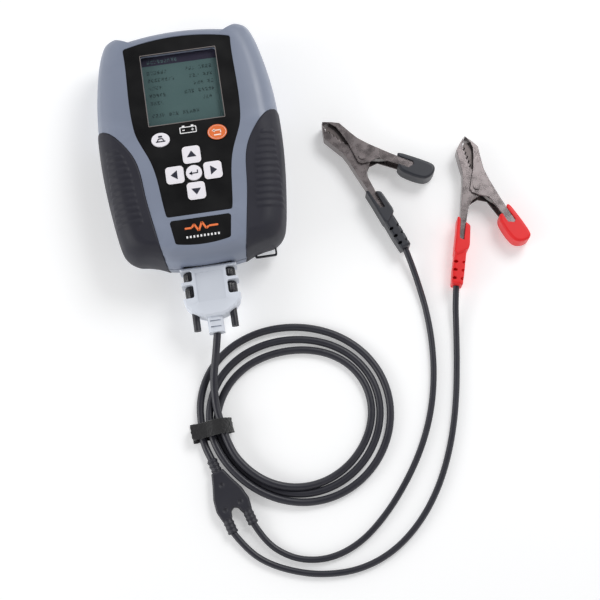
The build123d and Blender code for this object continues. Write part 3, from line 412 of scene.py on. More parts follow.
BLACK_ROUTE = [
    (0.0058, -0.2522, 0.0036),
    (0.0102, -0.2618, 0.0027),
    (0.0192, -0.2724, 0.0022),
    (0.0340, -0.2804, 0.0022),
    (0.0530, -0.2818, 0.0022),
    (0.0730, -0.2746, 0.0022),
    (0.0910, -0.2600, 0.0022),
    (0.1070, -0.2420, 0.0022),
    (0.1210, -0.2215, 0.0022),
    (0.1315, -0.1990, 0.0022),
    (0.1380, -0.1750, 0.0022),
    (0.1408, -0.1510, 0.0022),
    (0.1406, -0.1290, 0.0023),
    (0.1384, -0.1110, 0.0030),
    (0.1360, -0.0975, 0.0054),
    (0.1333, -0.0858, 0.0072),
]
COIL_CENTRE = (44.0, -188.0)
COIL_TURNS = 3
POINTS_A_TURN = 20


def ease(value):
    """0 to 1 as a smooth step; value is a number or an array."""
    value = np.clip(value, 0.0, 1.0)
    return value * value * (3 - 2 * value)


def strand_radius(turn):
    """Distance of the wound cable from the coil's centre, in millimetres."""
    phase = 2 * math.pi * turn
    radius = 45.4 + 4.5 * turn + 0.6 * turn**2
    radius += (0.1 - 0.4 * turn) * math.cos(phase) + (1.6 - 1.2 * turn) * math.sin(phase)
    radius += (2.4 - 0.4 * turn) * math.cos(2 * phase) + (1.2 - turn) * math.sin(2 * phase)
    radius -= 0.9 * math.sin(3 * phase)
    gather = 0.25 * math.exp(-(((turn - round(turn)) / 0.045) ** 2))
    return radius + gather * (60.0 - radius)


def strand_height(turn):
    """Height of the wound cable's middle: it starts and passes on top of the turns below."""
    first = 4.9 * ease(1.25 - turn / 0.30)
    third = 2.9 * ease(1.25 - abs(turn - 2.07) / 0.17)
    return CABLE_R + 0.05 + first + third


def coil_points():
    """Middle of the wound cable: three loose turns, flat on the floor but for the crossings."""
    points = []
    for i in range(1, COIL_TURNS * POINTS_A_TURN + 1):
        turn = i / POINTS_A_TURN
        phase = 2 * math.pi * turn
        radius = strand_radius(turn)
        points.append((
            (COIL_CENTRE[0] - radius * math.cos(phase)) * MM,
            (COIL_CENTRE[1] - radius * math.sin(phase)) * MM,
            strand_height(turn) * MM,
        ))
    return points


def cable(name, points, radius, replaces):
    """Round cable on one smooth spline."""
    curve = bpy.data.curves.new(name, "CURVE")
    curve.dimensions = "3D"
    curve.bevel_depth = radius * MM
    curve.bevel_resolution = 6
    curve.resolution_u = 6
    curve.use_fill_caps = True
    spline = curve.splines.new("NURBS")
    spline.points.add(len(points) - 1)
    for point, place in zip(spline.points, points):
        point.co = (*place, 1.0)
    spline.order_u = 3
    spline.use_endpoint_u = True
    return new_piece(name, curve, "cable", ROOT, replaces)


add_camera()
add_studio()
main_cable = cable(
    "cable_main", MAIN_ROUTE + coil_points() + SPLITTER_ENTRY, CABLE_R,
    ["main_cable", "cable_coil"],
)
red_lead = cable("cable_red_lead", RED_ROUTE, LEAD_R, ["red_lead"])
black_lead = cable("cable_black_lead", BLACK_ROUTE, LEAD_R, ["black_lead"])


# ---------------------------------------------------------------- floor
FLOOR_HALF = 3.0
FLOOR_GLOW = 0.30


def add_floor():
    """Pale floor that glows a little, so that shadows on it stay soft."""
    mesh = bpy.data.meshes.new("floor")
    half = FLOOR_HALF
    mesh.from_pydata(
        [(-half, -half, 0), (half, -half, 0), (half, half, 0), (-half, half, 0)], [], [(0, 1, 2, 3)]
    )
    floor = plain_object("floor", mesh)
    mat = surface("floor", (0.82, 0.825, 0.83, 1.0), 0.6, bump=0.0, mottle=0.004, patch=200)
    shader = mat.node_tree.nodes["Principled BSDF"]
    shader.inputs["Emission Color"].default_value = (1.0, 1.0, 1.0, 1.0)
    shader.inputs["Emission Strength"].default_value = FLOOR_GLOW
    mesh.materials.append(mat)


add_floor()


# ---------------------------------------------------------------- outlines and solids
def through(points, steps, closed=False):
    """Smooth curve through points of any dimension, with this many steps a span."""
    count = len(points)
    spans = count if closed else count - 1
    out = []
    for i in range(spans):
        if closed:
            near = [points[(i + k) % count] for k in (-1, 0, 1, 2)]
        else:
            near = [points[min(max(i + k, 0), count - 1)] for k in (-1, 0, 1, 2)]
        for step in range(steps):
            t = step / steps
            out.append(tuple(
                0.5 * (2 * b + (c - a) * t + (2 * a - 5 * b + 4 * c - d) * t**2
                       + (3 * b - a - 3 * c + d) * t**3)
                for a, b, c, d in zip(*near)
            ))
    if not closed:
        out.append(tuple(points[-1]))
    return out


def rounded(points, radius, steps=5):
    """Closed outline with each corner rounded; radius is one number or one a corner."""
    count = len(points)
    radii = [radius] * count if isinstance(radius, (int, float)) else radius
    out = []
    for i, corner in enumerate(points):
        here = Vector(corner)
        before = Vector(points[i - 1]) - here
        after = Vector(points[(i + 1) % count]) - here
        if radii[i] <= 0:
            out.append(tuple(corner))
            continue
        size = min(radii[i], 0.48 * before.length, 0.48 * after.length)
        start = here + before.normalized() * size
        stop = here + after.normalized() * size
        for step in range(steps + 1):
            t = step / steps
            out.append(tuple((1 - t) ** 2 * start + 2 * t * (1 - t) * here + t**2 * stop))
    return out


def disc(x, y, radius_x, radius_y, count=20):
    angles = [2 * math.pi * i / count for i in range(count)]
    return [(x + radius_x * math.cos(a), y + radius_y * math.sin(a)) for a in angles]


def bar(start, end, width, caps=True):
    """Outline of a straight stroke."""
    a, b = Vector(start), Vector(end)
    along = (b - a).normalized()
    side = Vector((-along.y, along.x)) * width / 2
    points = [tuple(p) for p in (a - side, b - side, b + side, a + side)]
    return rounded(points, width * 0.45 if caps else 0)


def inset(points, amount):
    """Outline moved inwards by an amount, for outlines without sharp turns."""
    count = len(points)
    area = sum(
        points[i][0] * points[(i + 1) % count][1] - points[(i + 1) % count][0] * points[i][1]
        for i in range(count)
    )
    turn = 1 if area > 0 else -1
    out = []
    for i in range(count):
        run = Vector(points[(i + 1) % count]) - Vector(points[i - 1])
        if run.length < 1e-9:
            out.append(tuple(points[i]))
            continue
        run.normalize()
        out.append((points[i][0] - run.y * amount * turn, points[i][1] + run.x * amount * turn))
    return out


def stack(levels):
    """Closed solid from outlines of equal length at rising heights: (outline, z) pairs."""
    count = len(levels[0][0])
    verts = [(x * MM, y * MM, z * MM) for outline, z in levels for x, y in outline]
    faces = []
    for level in range(len(levels) - 1):
        for i in range(count):
            a = level * count + i
            b = level * count + (i + 1) % count
            faces.append((a, b, b + count, a + count))
    faces.append(tuple(reversed(range(count))))
    faces.append(tuple(range((len(levels) - 1) * count, len(levels) * count)))
    return verts, faces


def prism(points, low, high):
    """Solid of an outline between two heights."""
    return stack([(points, low), (points, high)])


def pillow(points, low, high, top, bottom, steps=4):
    """Solid of an outline with its top and bottom edges rounded to these radii."""
    turns = [math.pi / 2 * step / steps for step in range(steps + 1)]
    levels = [
        (inset(points, bottom * (1 - math.sin(turn))), low + bottom * (1 - math.cos(turn)))
        for turn in turns
    ]
    levels += [
        (inset(points, top * (1 - math.cos(turn))), high - top * (1 - math.sin(turn)))
        for turn in turns
    ]
    return stack(levels)


def build_mesh(name, parts):
    """One mesh of several (vertices, faces) parts, their faces turned outwards."""
    verts, faces = [], []
    for part_verts, part_faces in parts:
        base = len(verts)
        verts.extend(part_verts)
        faces.extend(tuple(base + i for i in face) for face in part_faces)
    mesh = bpy.data.meshes.new(name)
    mesh.from_pydata(verts, [], faces)
    work = bmesh.new()
    work.from_mesh(mesh)
    bmesh.ops.recalc_face_normals(work, faces=work.faces)
    work.to_mesh(mesh)
    work.free()
    return mesh


def cut(obj, parts):
    """Cut parts out of an object, one at a time."""
    for part in parts:
        tool = plain_object("tool", build_mesh("tool", [part]))
        modifier = obj.modifiers.new("boolean", "BOOLEAN")
        modifier.operation = "DIFFERENCE"
        modifier.solver = "EXACT"
        modifier.object = tool
        apply_modifiers(obj)
        bpy.data.objects.remove(tool)


def moulded(name, parts, cuts, voxel, rounds, look, body, replaces):
    """Rubbery piece: parts merged, their edges softened, and then cut."""
    obj = plain_object(name, build_mesh(name, parts))
    soften(obj, voxel, rounds)
    cut(obj, cuts)
    finished(obj, name, look, body, replaces)


def soften(obj, voxel, rounds):
    """Even mesh of this pitch in millimetres, its edges rounded by smoothing."""
    modifier = obj.modifiers.new("remesh", "REMESH")
    modifier.mode = "VOXEL"
    modifier.voxel_size = voxel * MM
    modifier = obj.modifiers.new("smooth", "SMOOTH")
    modifier.iterations = rounds
    apply_modifiers(obj)
    for face in obj.data.polygons:
        face.use_smooth = True


WELD = 1e-6  # metres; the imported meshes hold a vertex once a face
FLAT_ANGLE = 1.0
BEVEL_WIDTH = 0.3
BEVEL_ANGLE = 40


def copied(node):
    """A new object with a CAD node's own mesh."""
    return plain_object(node, NODES[node].data.copy())


def refined(node, look, body):
    """CAD node again, with small bevels that catch the light."""
    obj = copied(node)
    work = bmesh.new()
    work.from_mesh(obj.data)
    bmesh.ops.remove_doubles(work, verts=work.verts, dist=WELD)
    bmesh.ops.dissolve_limit(
        work, angle_limit=math.radians(FLAT_ANGLE), verts=work.verts, edges=work.edges
    )
    for face in work.faces:
        face.smooth = False
    work.to_mesh(obj.data)
    work.free()
    modifier = obj.modifiers.new("bevel", "BEVEL")
    modifier.width = BEVEL_WIDTH * MM
    modifier.segments = 2
    modifier.limit_method = "ANGLE"
    modifier.angle_limit = math.radians(BEVEL_ANGLE)
    modifier.use_clamp_overlap = True
    apply_modifiers(obj)
    finished(obj, f"{node}_finish", look, body, [node])


# ---------------------------------------------------------------- housing skin
HALF_WIDTH = 61.6
HALF_LENGTH = 82.7
SIDE_EDGE = [
    (36.0, 79.4), (39.3, 80.9), (43.6, 82.5), (48.6, 80.7), (52.2, 75.3), (55.4, 66.0),
    (58.3, 52.0), (60.6, 35.0), (61.6, 14.0), (61.4, -6.0), (60.0, -26.0), (57.8, -45.0),
    (55.2, -61.5), (52.5, -69.5), (47.2, -73.8), (40.0, -75.2), (33.0, -77.2), (26.0, -80.4),
]
SIDE_PROFILE = [
    # height, how far in at the sides, how far in at the ends
    (2.0, 5.5, 4.5), (6.0, 2.2, 1.8), (20.5, 0.0, 0.0), (34.0, 1.8, 1.0), (40.5, 5.0, 3.2),
    (43.8, 9.5, 5.8), (45.0, 14.0, 8.0), (45.1, 20.0, 12.0), (45.1, 34.0, 40.0),
]
GRIP_EDGE = [
    (60.0, 15.4), (56.4, 14.2), (50.5, 10.0), (43.5, 1.6), (38.0, -8.0), (35.0, -19.0),
    (33.5, -35.0), (31.0, -53.0), (28.2, -70.5), (26.4, -80.2),
]
GRIP_TOP_Y = GRIP_EDGE[0][1]
GRIP_BOTTOM = 5.0
GRIP_PROUD = 0.45
GRIP_SUNK = 0.7
GRIP_ROUND = 1.3
GRIP_BACK = 0.6  # from the pad's sunken border in to its back
GRIP_ROWS, GRIP_COLUMNS = 230, 96
PROFILE_STEPS = 30
RISING = 6 * PROFILE_STEPS + 1  # points of the section up to its flat top
SHOULDER_DROP = 0.75  # the shell's face falls this much outside the dark panel
OVERLAY_SIDE = [
    (-52.6, 21.6), (-36.0, 23.6), (-20.0, 25.6), (-11.0, 28.0), (-1.2, 32.0), (7.0, 34.9),
    (14.0, 36.0), (69.2, 36.6),
]
HALVINGS = 40
RIB_TOP = -2.0
RIB_PITCH = 4.6
RIB_COUNT = 12
RIB_HALF = 1.3
RIB_HEIGHT = 0.5
RIB_FLOOR = 30.0  # no ribs on the pad below this height
SHADE_ANGLE = 32


def arch(half, low, high, steps, start, stop):
    """Shallow arch over the middle, from start to stop of its half width."""
    out = []
    for i in range(steps):
        x = half * (start + (stop - start) * i / steps)
        out.append((x, high + (low - high) * (x / half) ** 2))
    return out


def right_outline():
    """Right half of the housing's outline, from the top's middle to the bottom's."""
    (crown_x, crown_y), (tail_x, tail_y) = SIDE_EDGE[0], SIDE_EDGE[-1]
    crown = arch(crown_x, crown_y, HALF_LENGTH, 14, 0.0, 1.0)
    tail = arch(tail_x, tail_y, -HALF_LENGTH, 10, 1.0, 0.0)
    return crown + through(SIDE_EDGE, 7)[:-1] + tail + [(0.0, -HALF_LENGTH)]


RIGHT = right_outline()
OUTLINE = RIGHT + [(-x, y) for x, y in reversed(RIGHT[1:-1])]
ANGLES = np.array([math.atan2(y, x) for x, y in reversed(OUTLINE)])
REACHES = np.array([math.hypot(x, y) for x, y in reversed(OUTLINE)])
ORDER = np.argsort(ANGLES)
ANGLES, REACHES = ANGLES[ORDER], REACHES[ORDER]
PROFILE = np.array(through(SIDE_PROFILE, PROFILE_STEPS))
PROFILE_WAY = np.concatenate(
    [[0], np.cumsum(np.hypot(np.diff(PROFILE[:, 0]), np.diff(PROFILE[:, 1])))]
)


def reach(angle):
    """Distance from the housing's middle to its outline."""
    return np.interp(angle, ANGLES, REACHES, period=2 * math.pi)


def profile(way):
    """Height and the two insets, this far along the section from the bottom edge."""
    return [np.interp(way, PROFILE_WAY, PROFILE[:, k]) for k in range(3)]


def way_at_height(z):
    return float(np.interp(z, PROFILE[:RISING, 0], PROFILE_WAY[:RISING]))


def overlay_side(y):
    """Half width of the dark front panel at y."""
    return np.interp(y, *zip(*OVERLAY_SIDE))


def skin_point(angle, way):
    """Points of the housing's skin in millimetres."""
    z, side, end = profile(way)
    distance = reach(angle)
    x = distance * np.cos(angle) * (1 - side / HALF_WIDTH)
    y = distance * np.sin(angle) * (1 - end / HALF_LENGTH)
    outside = np.abs(x) - overlay_side(y)
    drop = SHOULDER_DROP * ease((outside - 3.0) / 2.6) * ease((y - 2) / 16) * ease((z - 36) / 6)
    return x, y, z - drop


def skin_place(x, y):
    """Angle and way of the skin point above a point of the plan."""
    low = np.full_like(x, float(PROFILE_WAY[2 * PROFILE_STEPS]))
    high = np.full_like(x, float(PROFILE_WAY[-1]))
    for _ in range(HALVINGS):
        middle = (low + high) / 2
        _, side, end = profile(middle)
        u, v = x / (1 - side / HALF_WIDTH), y / (1 - end / HALF_LENGTH)
        outside = np.hypot(u, v) > reach(np.arctan2(v, u))
        high = np.where(outside, middle, high)
        low = np.where(outside, low, middle)
    _, side, end = profile(low)
    return np.arctan2(y / (1 - end / HALF_LENGTH), x / (1 - side / HALF_WIDTH)), low


def grid_faces(rows, columns, wrap=False):
    """Faces of a grid of vertices, its last column joined to its first where it wraps."""
    faces = []
    for i in range(rows - 1):
        here, after = i * columns, (i + 1) * columns
        for j in range(columns if wrap else columns - 1):
            k = (j + 1) % columns
            faces.append((here + j, here + k, after + k, after + j))
    return faces


def rib_height(x, y):
    """How far the grip's cross ribs stand out at a point of the plan."""
    edge_x, edge_y = zip(*reversed(GRIP_EDGE))
    inner = np.interp(y, edge_y, edge_x) + 5.6
    turn = (RIB_TOP - y) / RIB_PITCH
    nearest = np.clip(np.round(turn), 0, RIB_COUNT - 1)
    off = np.abs(turn - nearest) * RIB_PITCH
    along = ease((x - inner) / 1.6) * ease((56.2 - x) / 1.8)
    return RIB_HEIGHT * ease((RIB_HALF + 0.55 - off) / 1.1) * along


def run_along(points):
    """Distance along a line of points, from its first."""
    return np.concatenate([[0], np.cumsum(np.hypot(*np.diff(points, axis=0).T))])


def grip_grid():
    """Points of the skin under the right pad, from its inner edge out and down to its foot."""
    edge = np.array(through(GRIP_EDGE, 26))
    way = run_along(edge)
    even = np.linspace(0, way[-1], GRIP_ROWS)
    edge_angle, edge_way = skin_place(
        np.interp(even, way, edge[:, 0]), np.interp(even, way, edge[:, 1])
    )
    side = np.array([p for p in through(SIDE_EDGE, 24) if p[1] <= GRIP_TOP_Y])
    run = run_along(side)
    run /= run[-1]
    share = np.linspace(0, 1, GRIP_ROWS)
    foot_angle = np.arctan2(np.interp(share, run, side[:, 1]), np.interp(share, run, side[:, 0]))
    foot_way = way_at_height(GRIP_BOTTOM)
    points = np.zeros((GRIP_ROWS, GRIP_COLUMNS, 3))
    v = np.linspace(0, 1, GRIP_COLUMNS)
    for i in range(GRIP_ROWS):
        angle = edge_angle[i] + (foot_angle[i] - edge_angle[i]) * v
        along = edge_way[i] + (foot_way - edge_way[i]) * v
        points[i] = np.stack(skin_point(angle, along), axis=-1)
    return points


def outward_normals(points):
    normal = np.cross(np.gradient(points, axis=1), np.gradient(points, axis=0))
    length = np.linalg.norm(normal, axis=-1, keepdims=True)
    normal = normal / np.maximum(length, 1e-9)
    out = np.sum(normal * points * np.array([1, 1, 0.4]), axis=-1, keepdims=True)
    return normal * np.sign(out)


def from_border(points):
    """Distance over the grid from each point to the nearest of its four sides."""
    rows, columns = points.shape[:2]
    step_across = np.linalg.norm(np.diff(points, axis=1), axis=-1)
    across = np.concatenate([np.zeros((rows, 1)), np.cumsum(step_across, axis=1)], axis=1)
    step_down = np.linalg.norm(np.diff(points, axis=0), axis=-1)
    down = np.concatenate([np.zeros((1, columns)), np.cumsum(step_down, axis=0)], axis=0)
    return np.minimum(
        np.minimum(across, across[:, -1:] - across), np.minimum(down, down[-1:, :] - down)
    )


def border_ring(rows, columns):
    """Indices round the border of a grid."""
    ring_of = list(range(columns)) + [(i + 1) * columns - 1 for i in range(1, rows)]
    ring_of += [(rows - 1) * columns + j for j in range(columns - 2, -1, -1)]
    return ring_of + [i * columns for i in range(rows - 2, 0, -1)]


def grip(name, hand):
    """Soft grip pad: lies on the skin, its border rounded, with cross ribs."""
    points = grip_grid()
    normal = outward_normals(points)
    close = np.clip(1 - from_border(points) / GRIP_ROUND, 0, 1)
    lift = -GRIP_SUNK + (GRIP_SUNK + GRIP_PROUD) * np.sqrt(np.clip(1 - close**2, 0, 1))
    lift = lift + rib_height(points[..., 0], points[..., 1]) * (points[..., 2] > RIB_FLOOR)
    outer = points + normal * lift[..., None]
    inner = points - normal * (GRIP_SUNK + GRIP_BACK)
    verts = [tuple(p * MM) for layer in (outer, inner) for p in layer.reshape(-1, 3)]
    if hand < 0:
        verts = [(-x, y, z) for x, y, z in verts]
    count = GRIP_ROWS * GRIP_COLUMNS
    faces = grid_faces(GRIP_ROWS, GRIP_COLUMNS)
    faces += [tuple(count + i for i in reversed(face)) for face in faces]
    border = border_ring(GRIP_ROWS, GRIP_COLUMNS)
    for a, b in zip(border, border[1:] + border[:1]):
        faces.append((a, b, count + b, count + a))
    mesh = build_mesh(name, [(verts, faces)])
    for face in mesh.polygons:
        face.use_smooth = True
    new_piece(name, mesh, "grip", ROOT, [name.replace("_pad", "")])


def shell_skin(node):
    """Housing half again, its lofted sides shaded smooth."""
    obj = copied(node)
    work = bmesh.new()
    work.from_mesh(obj.data)
    bmesh.ops.remove_doubles(work, verts=work.verts, dist=WELD)
    work.to_mesh(obj.data)
    work.free()
    smooth(obj, SHADE_ANGLE)
    finished(obj, f"{node}_skin", "shell", ROOT, [node])


shell_skin("front_shell")
shell_skin("rear_shell")
grip("right_grip_pad", 1)
grip("left_grip_pad", -1)


# ---------------------------------------------------------------- printed marks and screen
def printed(name, outlines, z, thick, look, body=ROOT):
    """Flat printed shapes of this thickness, standing on height z."""
    mesh = build_mesh(name, [prism(points, z, z + thick) for points in outlines])
    new_piece(name, mesh, look, body)


def moved(points, x, y, turn):
    """Outline turned by degrees and then moved."""
    c, s = math.cos(math.radians(turn)), math.sin(math.radians(turn))
    return [(x + px * c - py * s, y + px * s + py * c) for px, py in points]


CAP_THICK = 0.12
CAP_SUNK = 0.05


def key_cap(node, shrink, look, body):
    """Face of a key: the key and its flange flattened onto its top, drawn in by shrink."""
    low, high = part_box(node)
    middle = (Vector(low) + Vector(high)) / 2
    scale = 1 - 2 * shrink * MM / (high[0] - low[0])
    obj = copied(node)
    for vertex in obj.data.vertices:
        place = vertex.co
        share = (place.z - low[2]) / (high[2] - low[2])
        vertex.co = (
            middle.x + (place.x - middle.x) * scale,
            middle.y + (place.y - middle.y) * scale,
            high[2] + (share * CAP_THICK - CAP_SUNK) * MM,
        )
    smooth(obj, 30)
    finished(obj, f"{node}_face", look, body)


SCREEN_Z = 40.0
SCREEN_INK = 0.05
SCREEN_ROWS = [
    # height on the display, blocks at its left, blocks at its right
    (50.5, 6, 8), (45.0, 8, 7), (39.5, 4, 6), (34.0, 5, 9), (28.5, 4, 4), (19.6, 14, 0),
]
LONG_ROW = 9  # a row with more blocks than this has two gaps
LONG_ROW_GAPS = (4, 8)
ROW_LEFT, ROW_RIGHT = -22.5, 19.5
TITLE_LEFT, TITLE_Y, TITLE_BLOCKS = -21.5, 58.4, 9
CELL = 2.3
CELL_COLUMNS, CELL_ROWS = 3, 5
DOT_WIDTH, DOT_PITCH_X = 0.5, 0.56
DOT_HEIGHT, DOT_PITCH_Y = 0.42, 0.52
LIT_SHARE = 0.55
# heights of the thin ring round the display window; its pale colour is a painted highlight
HIGHLIGHT_RING_LOW, HIGHLIGHT_RING_HIGH = 44.5, 44.72


def rectangle(left, low, right, high):
    return [(left, low), (right, low), (right, high), (left, high)]


def screen_cells(x, y, draw):
    """One block of display dots, some of them lit."""
    out = []
    for column in range(CELL_COLUMNS):
        for row in range(CELL_ROWS):
            if draw.random() < LIT_SHARE:
                left, low = x + column * DOT_PITCH_X, y + row * DOT_PITCH_Y
                out.append(rectangle(left, low, left + DOT_WIDTH, low + DOT_HEIGHT))
    return out


def screen():
    """Unreadable rows of dots on the display, and a thin pale ring round its window, whose colour
    is a painted highlight on the window's raised edge.
    """
    draw = random.Random(4)
    title = rectangle(-27.5, 56.9, 27.5, 65.0)
    printed("display_title_bar", [title], SCREEN_Z, 0.04, "display_bar")
    dots = []
    for y, words, values in SCREEN_ROWS:
        for i in range(words):
            if words <= LONG_ROW or i not in LONG_ROW_GAPS:
                dots += screen_cells(ROW_LEFT + i * CELL, y, draw)
        for i in range(values):
            if i != values - 4:
                dots += screen_cells(ROW_RIGHT - i * CELL, y, draw)
    printed("display_rows", dots, SCREEN_Z, SCREEN_INK, "display_ink")
    dots = []
    for i in range(TITLE_BLOCKS):
        dots += screen_cells(TITLE_LEFT + i * CELL, TITLE_Y, draw)
    printed("display_title_dots", dots, SCREEN_Z + 0.03, SCREEN_INK, "display")
    # thin ring on the window's edge, drawn pale as a painted highlight of the light that edge
    # catches
    outer = rounded(rectangle(-25.75, 11.75, 25.75, 63.25), 0.8)
    inner = rounded(rectangle(-25.3, 12.2, 25.3, 62.8), 0.5)
    mesh = build_mesh("window_highlight_ring", [ring(outer, inner, HIGHLIGHT_RING_LOW, HIGHLIGHT_RING_HIGH)])
    new_piece("window_highlight_ring", mesh, "window_edge_highlight", ROOT)


def ring(outer, inner, low, high):
    """Closed solid between two outlines of equal length."""
    count = len(outer)
    verts = []
    for points, z in ((outer, low), (outer, high), (inner, high), (inner, low)):
        verts.extend((x * MM, y * MM, z * MM) for x, y in points)
    faces = []
    for level in range(4):
        a, b = level * count, (level + 1) % 4 * count
        for i in range(count):
            k = (i + 1) % count
            faces.append((a + i, a + k, b + k, b + i))
    return verts, faces


SIGN_LOW, SIGN_HIGH = 44.55, 44.66
PLATE_Z = 44.65
MARK_THICK = 0.1


def battery_sign():
    """Plain battery drawing: a box with two posts, a minus and a plus."""
    x, y, w, h, line = 0.0, 6.2, 5.6, 2.3, 0.55
    box = ring(
        rounded(rectangle(x - w, y - h, x + w, y + h), 0.7),
        rounded(rectangle(x - w + line, y - h + line, x + w - line, y + h - line), 0.4),
        SIGN_LOW, SIGN_HIGH,
    )
    strokes = [
        bar((x - 3.9, y + h + 0.5), (x - 2.1, y + h + 0.5), 0.9),
        bar((x + 2.1, y + h + 0.5), (x + 3.9, y + h + 0.5), 0.9),
        bar((x - 3.9, y), (x - 2.1, y), line),
        bar((x + 2.1, y), (x + 3.9, y), line),
        bar((x + 3.0, y - 0.9), (x + 3.0, y + 0.9), line),
    ]
    parts = [box] + [prism(stroke, SIGN_LOW, SIGN_HIGH) for stroke in strokes]
    mesh = build_mesh("battery_sign", parts)
    new_piece("battery_sign", mesh, "white_ink", ROOT)


def name_plate_marks():
    """Plain pulse line and a rule on the lower plate."""
    pulse = [(-11.0, -61.6), (-6.4, -61.6), (-4.6, -59.2), (-2.0, -64.2), (0.6, -58.4),
             (3.2, -63.2), (4.8, -61.6), (11.0, -61.6)]
    strokes = [bar(a, b, 1.3) for a, b in zip(pulse, pulse[1:])]
    printed("plate_pulse", strokes, PLATE_Z, MARK_THICK, "orange_ink")
    starts = [-10.6 + i * 2.3 for i in range(10)]
    dashes = [bar((x, -67.6), (x + 1.1, -67.6), 1.5, caps=False) for x in starts]
    printed("plate_dashes", dashes, PLATE_Z, MARK_THICK, "white_ink")


KEY_MIDDLE = (0.0, -24.3)
KEY_PITCH = 12.6
OVAL_KEY_X, OVAL_KEY_Y = 18.9, 1.6
ICON_Z = 45.4


def key_marks():
    """Faces of the keys and the generic signs on them."""
    triangle = rounded([(-3.2, -1.9), (3.2, -1.9), (0.0, 2.5)], 0.35)
    places = {"up": (0, 1, 0), "left": (-1, 0, 90), "down": (0, -1, 180), "right": (1, 0, -90)}
    for name, (dx, dy, turn) in places.items():
        key_cap(f"{name}_key", 0.32, "key_white", f"{name}_button")
        x, y = KEY_MIDDLE[0] + dx * KEY_PITCH, KEY_MIDDLE[1] + dy * KEY_PITCH
        printed(f"{name}_arrow", [moved(triangle, x + dx * 0.3, y + dy * 0.3, turn)], ICON_Z, 0.14,
                "dark_ink", f"{name}_button")
    x, y = KEY_MIDDLE
    strokes = [
        bar((x - 2.4, y - 0.4), (x + 2.7, y - 0.4), 0.75),
        bar((x + 2.4, y - 0.4), (x + 2.4, y + 1.7), 0.75),
        rounded([(x - 3.4, y - 0.4), (x - 1.2, y - 1.9), (x - 1.2, y + 1.1)], 0.2),
    ]
    printed("enter_arrow", strokes, ICON_Z, MARK_THICK, "dark_ink", "enter_button")
    x, y = -OVAL_KEY_X, OVAL_KEY_Y
    strokes = [
        bar((x - 3.2, y - 1.4), (x + 3.2, y - 1.4), 0.8),
        bar((x - 2.3, y - 1.2), (x - 1.2, y + 0.7), 0.7),
        bar((x + 2.3, y - 1.2), (x + 1.2, y + 0.7), 0.7),
        bar((x - 1.4, y + 0.6), (x + 1.4, y + 0.6), 0.8),
        rounded(rectangle(x - 1.3, y + 1.5, x + 1.3, y + 2.7), 0.3),
    ]
    printed("menu_sign", strokes, ICON_Z, MARK_THICK, "dark_ink", "menu_button")
    key_cap("escape_key", 0.55, "key_orange", "escape_button")
    x, y = OVAL_KEY_X, OVAL_KEY_Y
    strokes = [
        bar((x - 2.6, y + 1.2), (x + 2.6, y + 1.2), 0.7),
        bar((x + 2.3, y + 1.2), (x + 2.3, y - 0.8), 0.7),
        rounded([(x - 3.5, y + 1.2), (x - 1.6, y - 0.1), (x - 1.6, y + 2.5)], 0.2),
        bar((x - 2.4, y - 2.0), (x + 2.4, y - 2.0), 0.8),
    ]
    printed("escape_sign", strokes, ICON_Z + 0.06, MARK_THICK, "pale_ink",
            "escape_button")


screen()
battery_sign()
name_plate_marks()
key_marks()


# ---------------------------------------------------------------- splitter and tie
SPLITTER_DIMPLES = [(-11.1, -225.2), (-0.5, -237.2), (-10.9, -241.5)]


def splitter():
    """Moulded splitter with three round dimples, its edges softened."""
    obj = copied("splitter")
    cut(obj, [pillow(disc(x, y, 1.5, 1.5), 6.3, 9.0, 0.2, 0.6) for x, y in SPLITTER_DIMPLES])
    soften(obj, 0.32, 11)
    finished(obj, "splitter_moulding", "splitter", ROOT, ["splitter"])


TIE_X, TIE_Y = -13.5, -188.0
TIE_TURN = 4.0
# across the turns and up, in millimetres from the tie's middle on the floor
TIE_BAND = [
    (-11.6, 5.2), (-10.2, 1.2), (-4.0, 0.55), (6.0, 0.55), (12.4, 1.0), (14.0, 3.0),
    (12.2, 6.4), (9.0, 10.6), (6.2, 12.4), (2.6, 11.9), (-2.0, 8.6), (-7.0, 7.6),
]
TIE_TAIL = [
    (14.6, 3.4), (13.0, 7.4), (9.6, 11.6), (6.4, 13.3), (2.4, 12.9), (-2.4, 9.7), (-7.2, 8.7),
    (-12.8, 7.6),
]
TIE_UNDER = [(-13.0, 1.0), (-6.0, 0.8), (0.0, 0.8), (5.0, 0.8)]
STRAP_STRIPS = 7
STRAP_FLOOR = 0.1
PILE_FLOOR = 0.05


def tie():
    """Hook-and-loop strap: a band drawn round the turns, its free end pressed on top."""
    parts = [
        strap(through(TIE_BAND, 5, closed=True), 9.4, 0.8, True, 0.0),
        strap(through(TIE_TAIL, 6), 10.2, 0.8, False, 0.2),
        strap(through(TIE_UNDER, 6), 13.0, 0.7, False, 0.2),
    ]
    obj = plain_object("tie", build_mesh("tie", parts))
    soften(obj, 0.4, 2)
    for vertex in obj.data.vertices:
        place = vertex.co / MM
        pile = mathnoise.noise(place * 1.9) * 0.28 + mathnoise.noise(place * 0.7) * 0.2
        vertex.co = vertex.co + vertex.normal * pile * MM
        vertex.co.z = max(vertex.co.z, PILE_FLOOR * MM)
    finished(obj, "coil_strap", "strap", ROOT, ["coil_tie"])


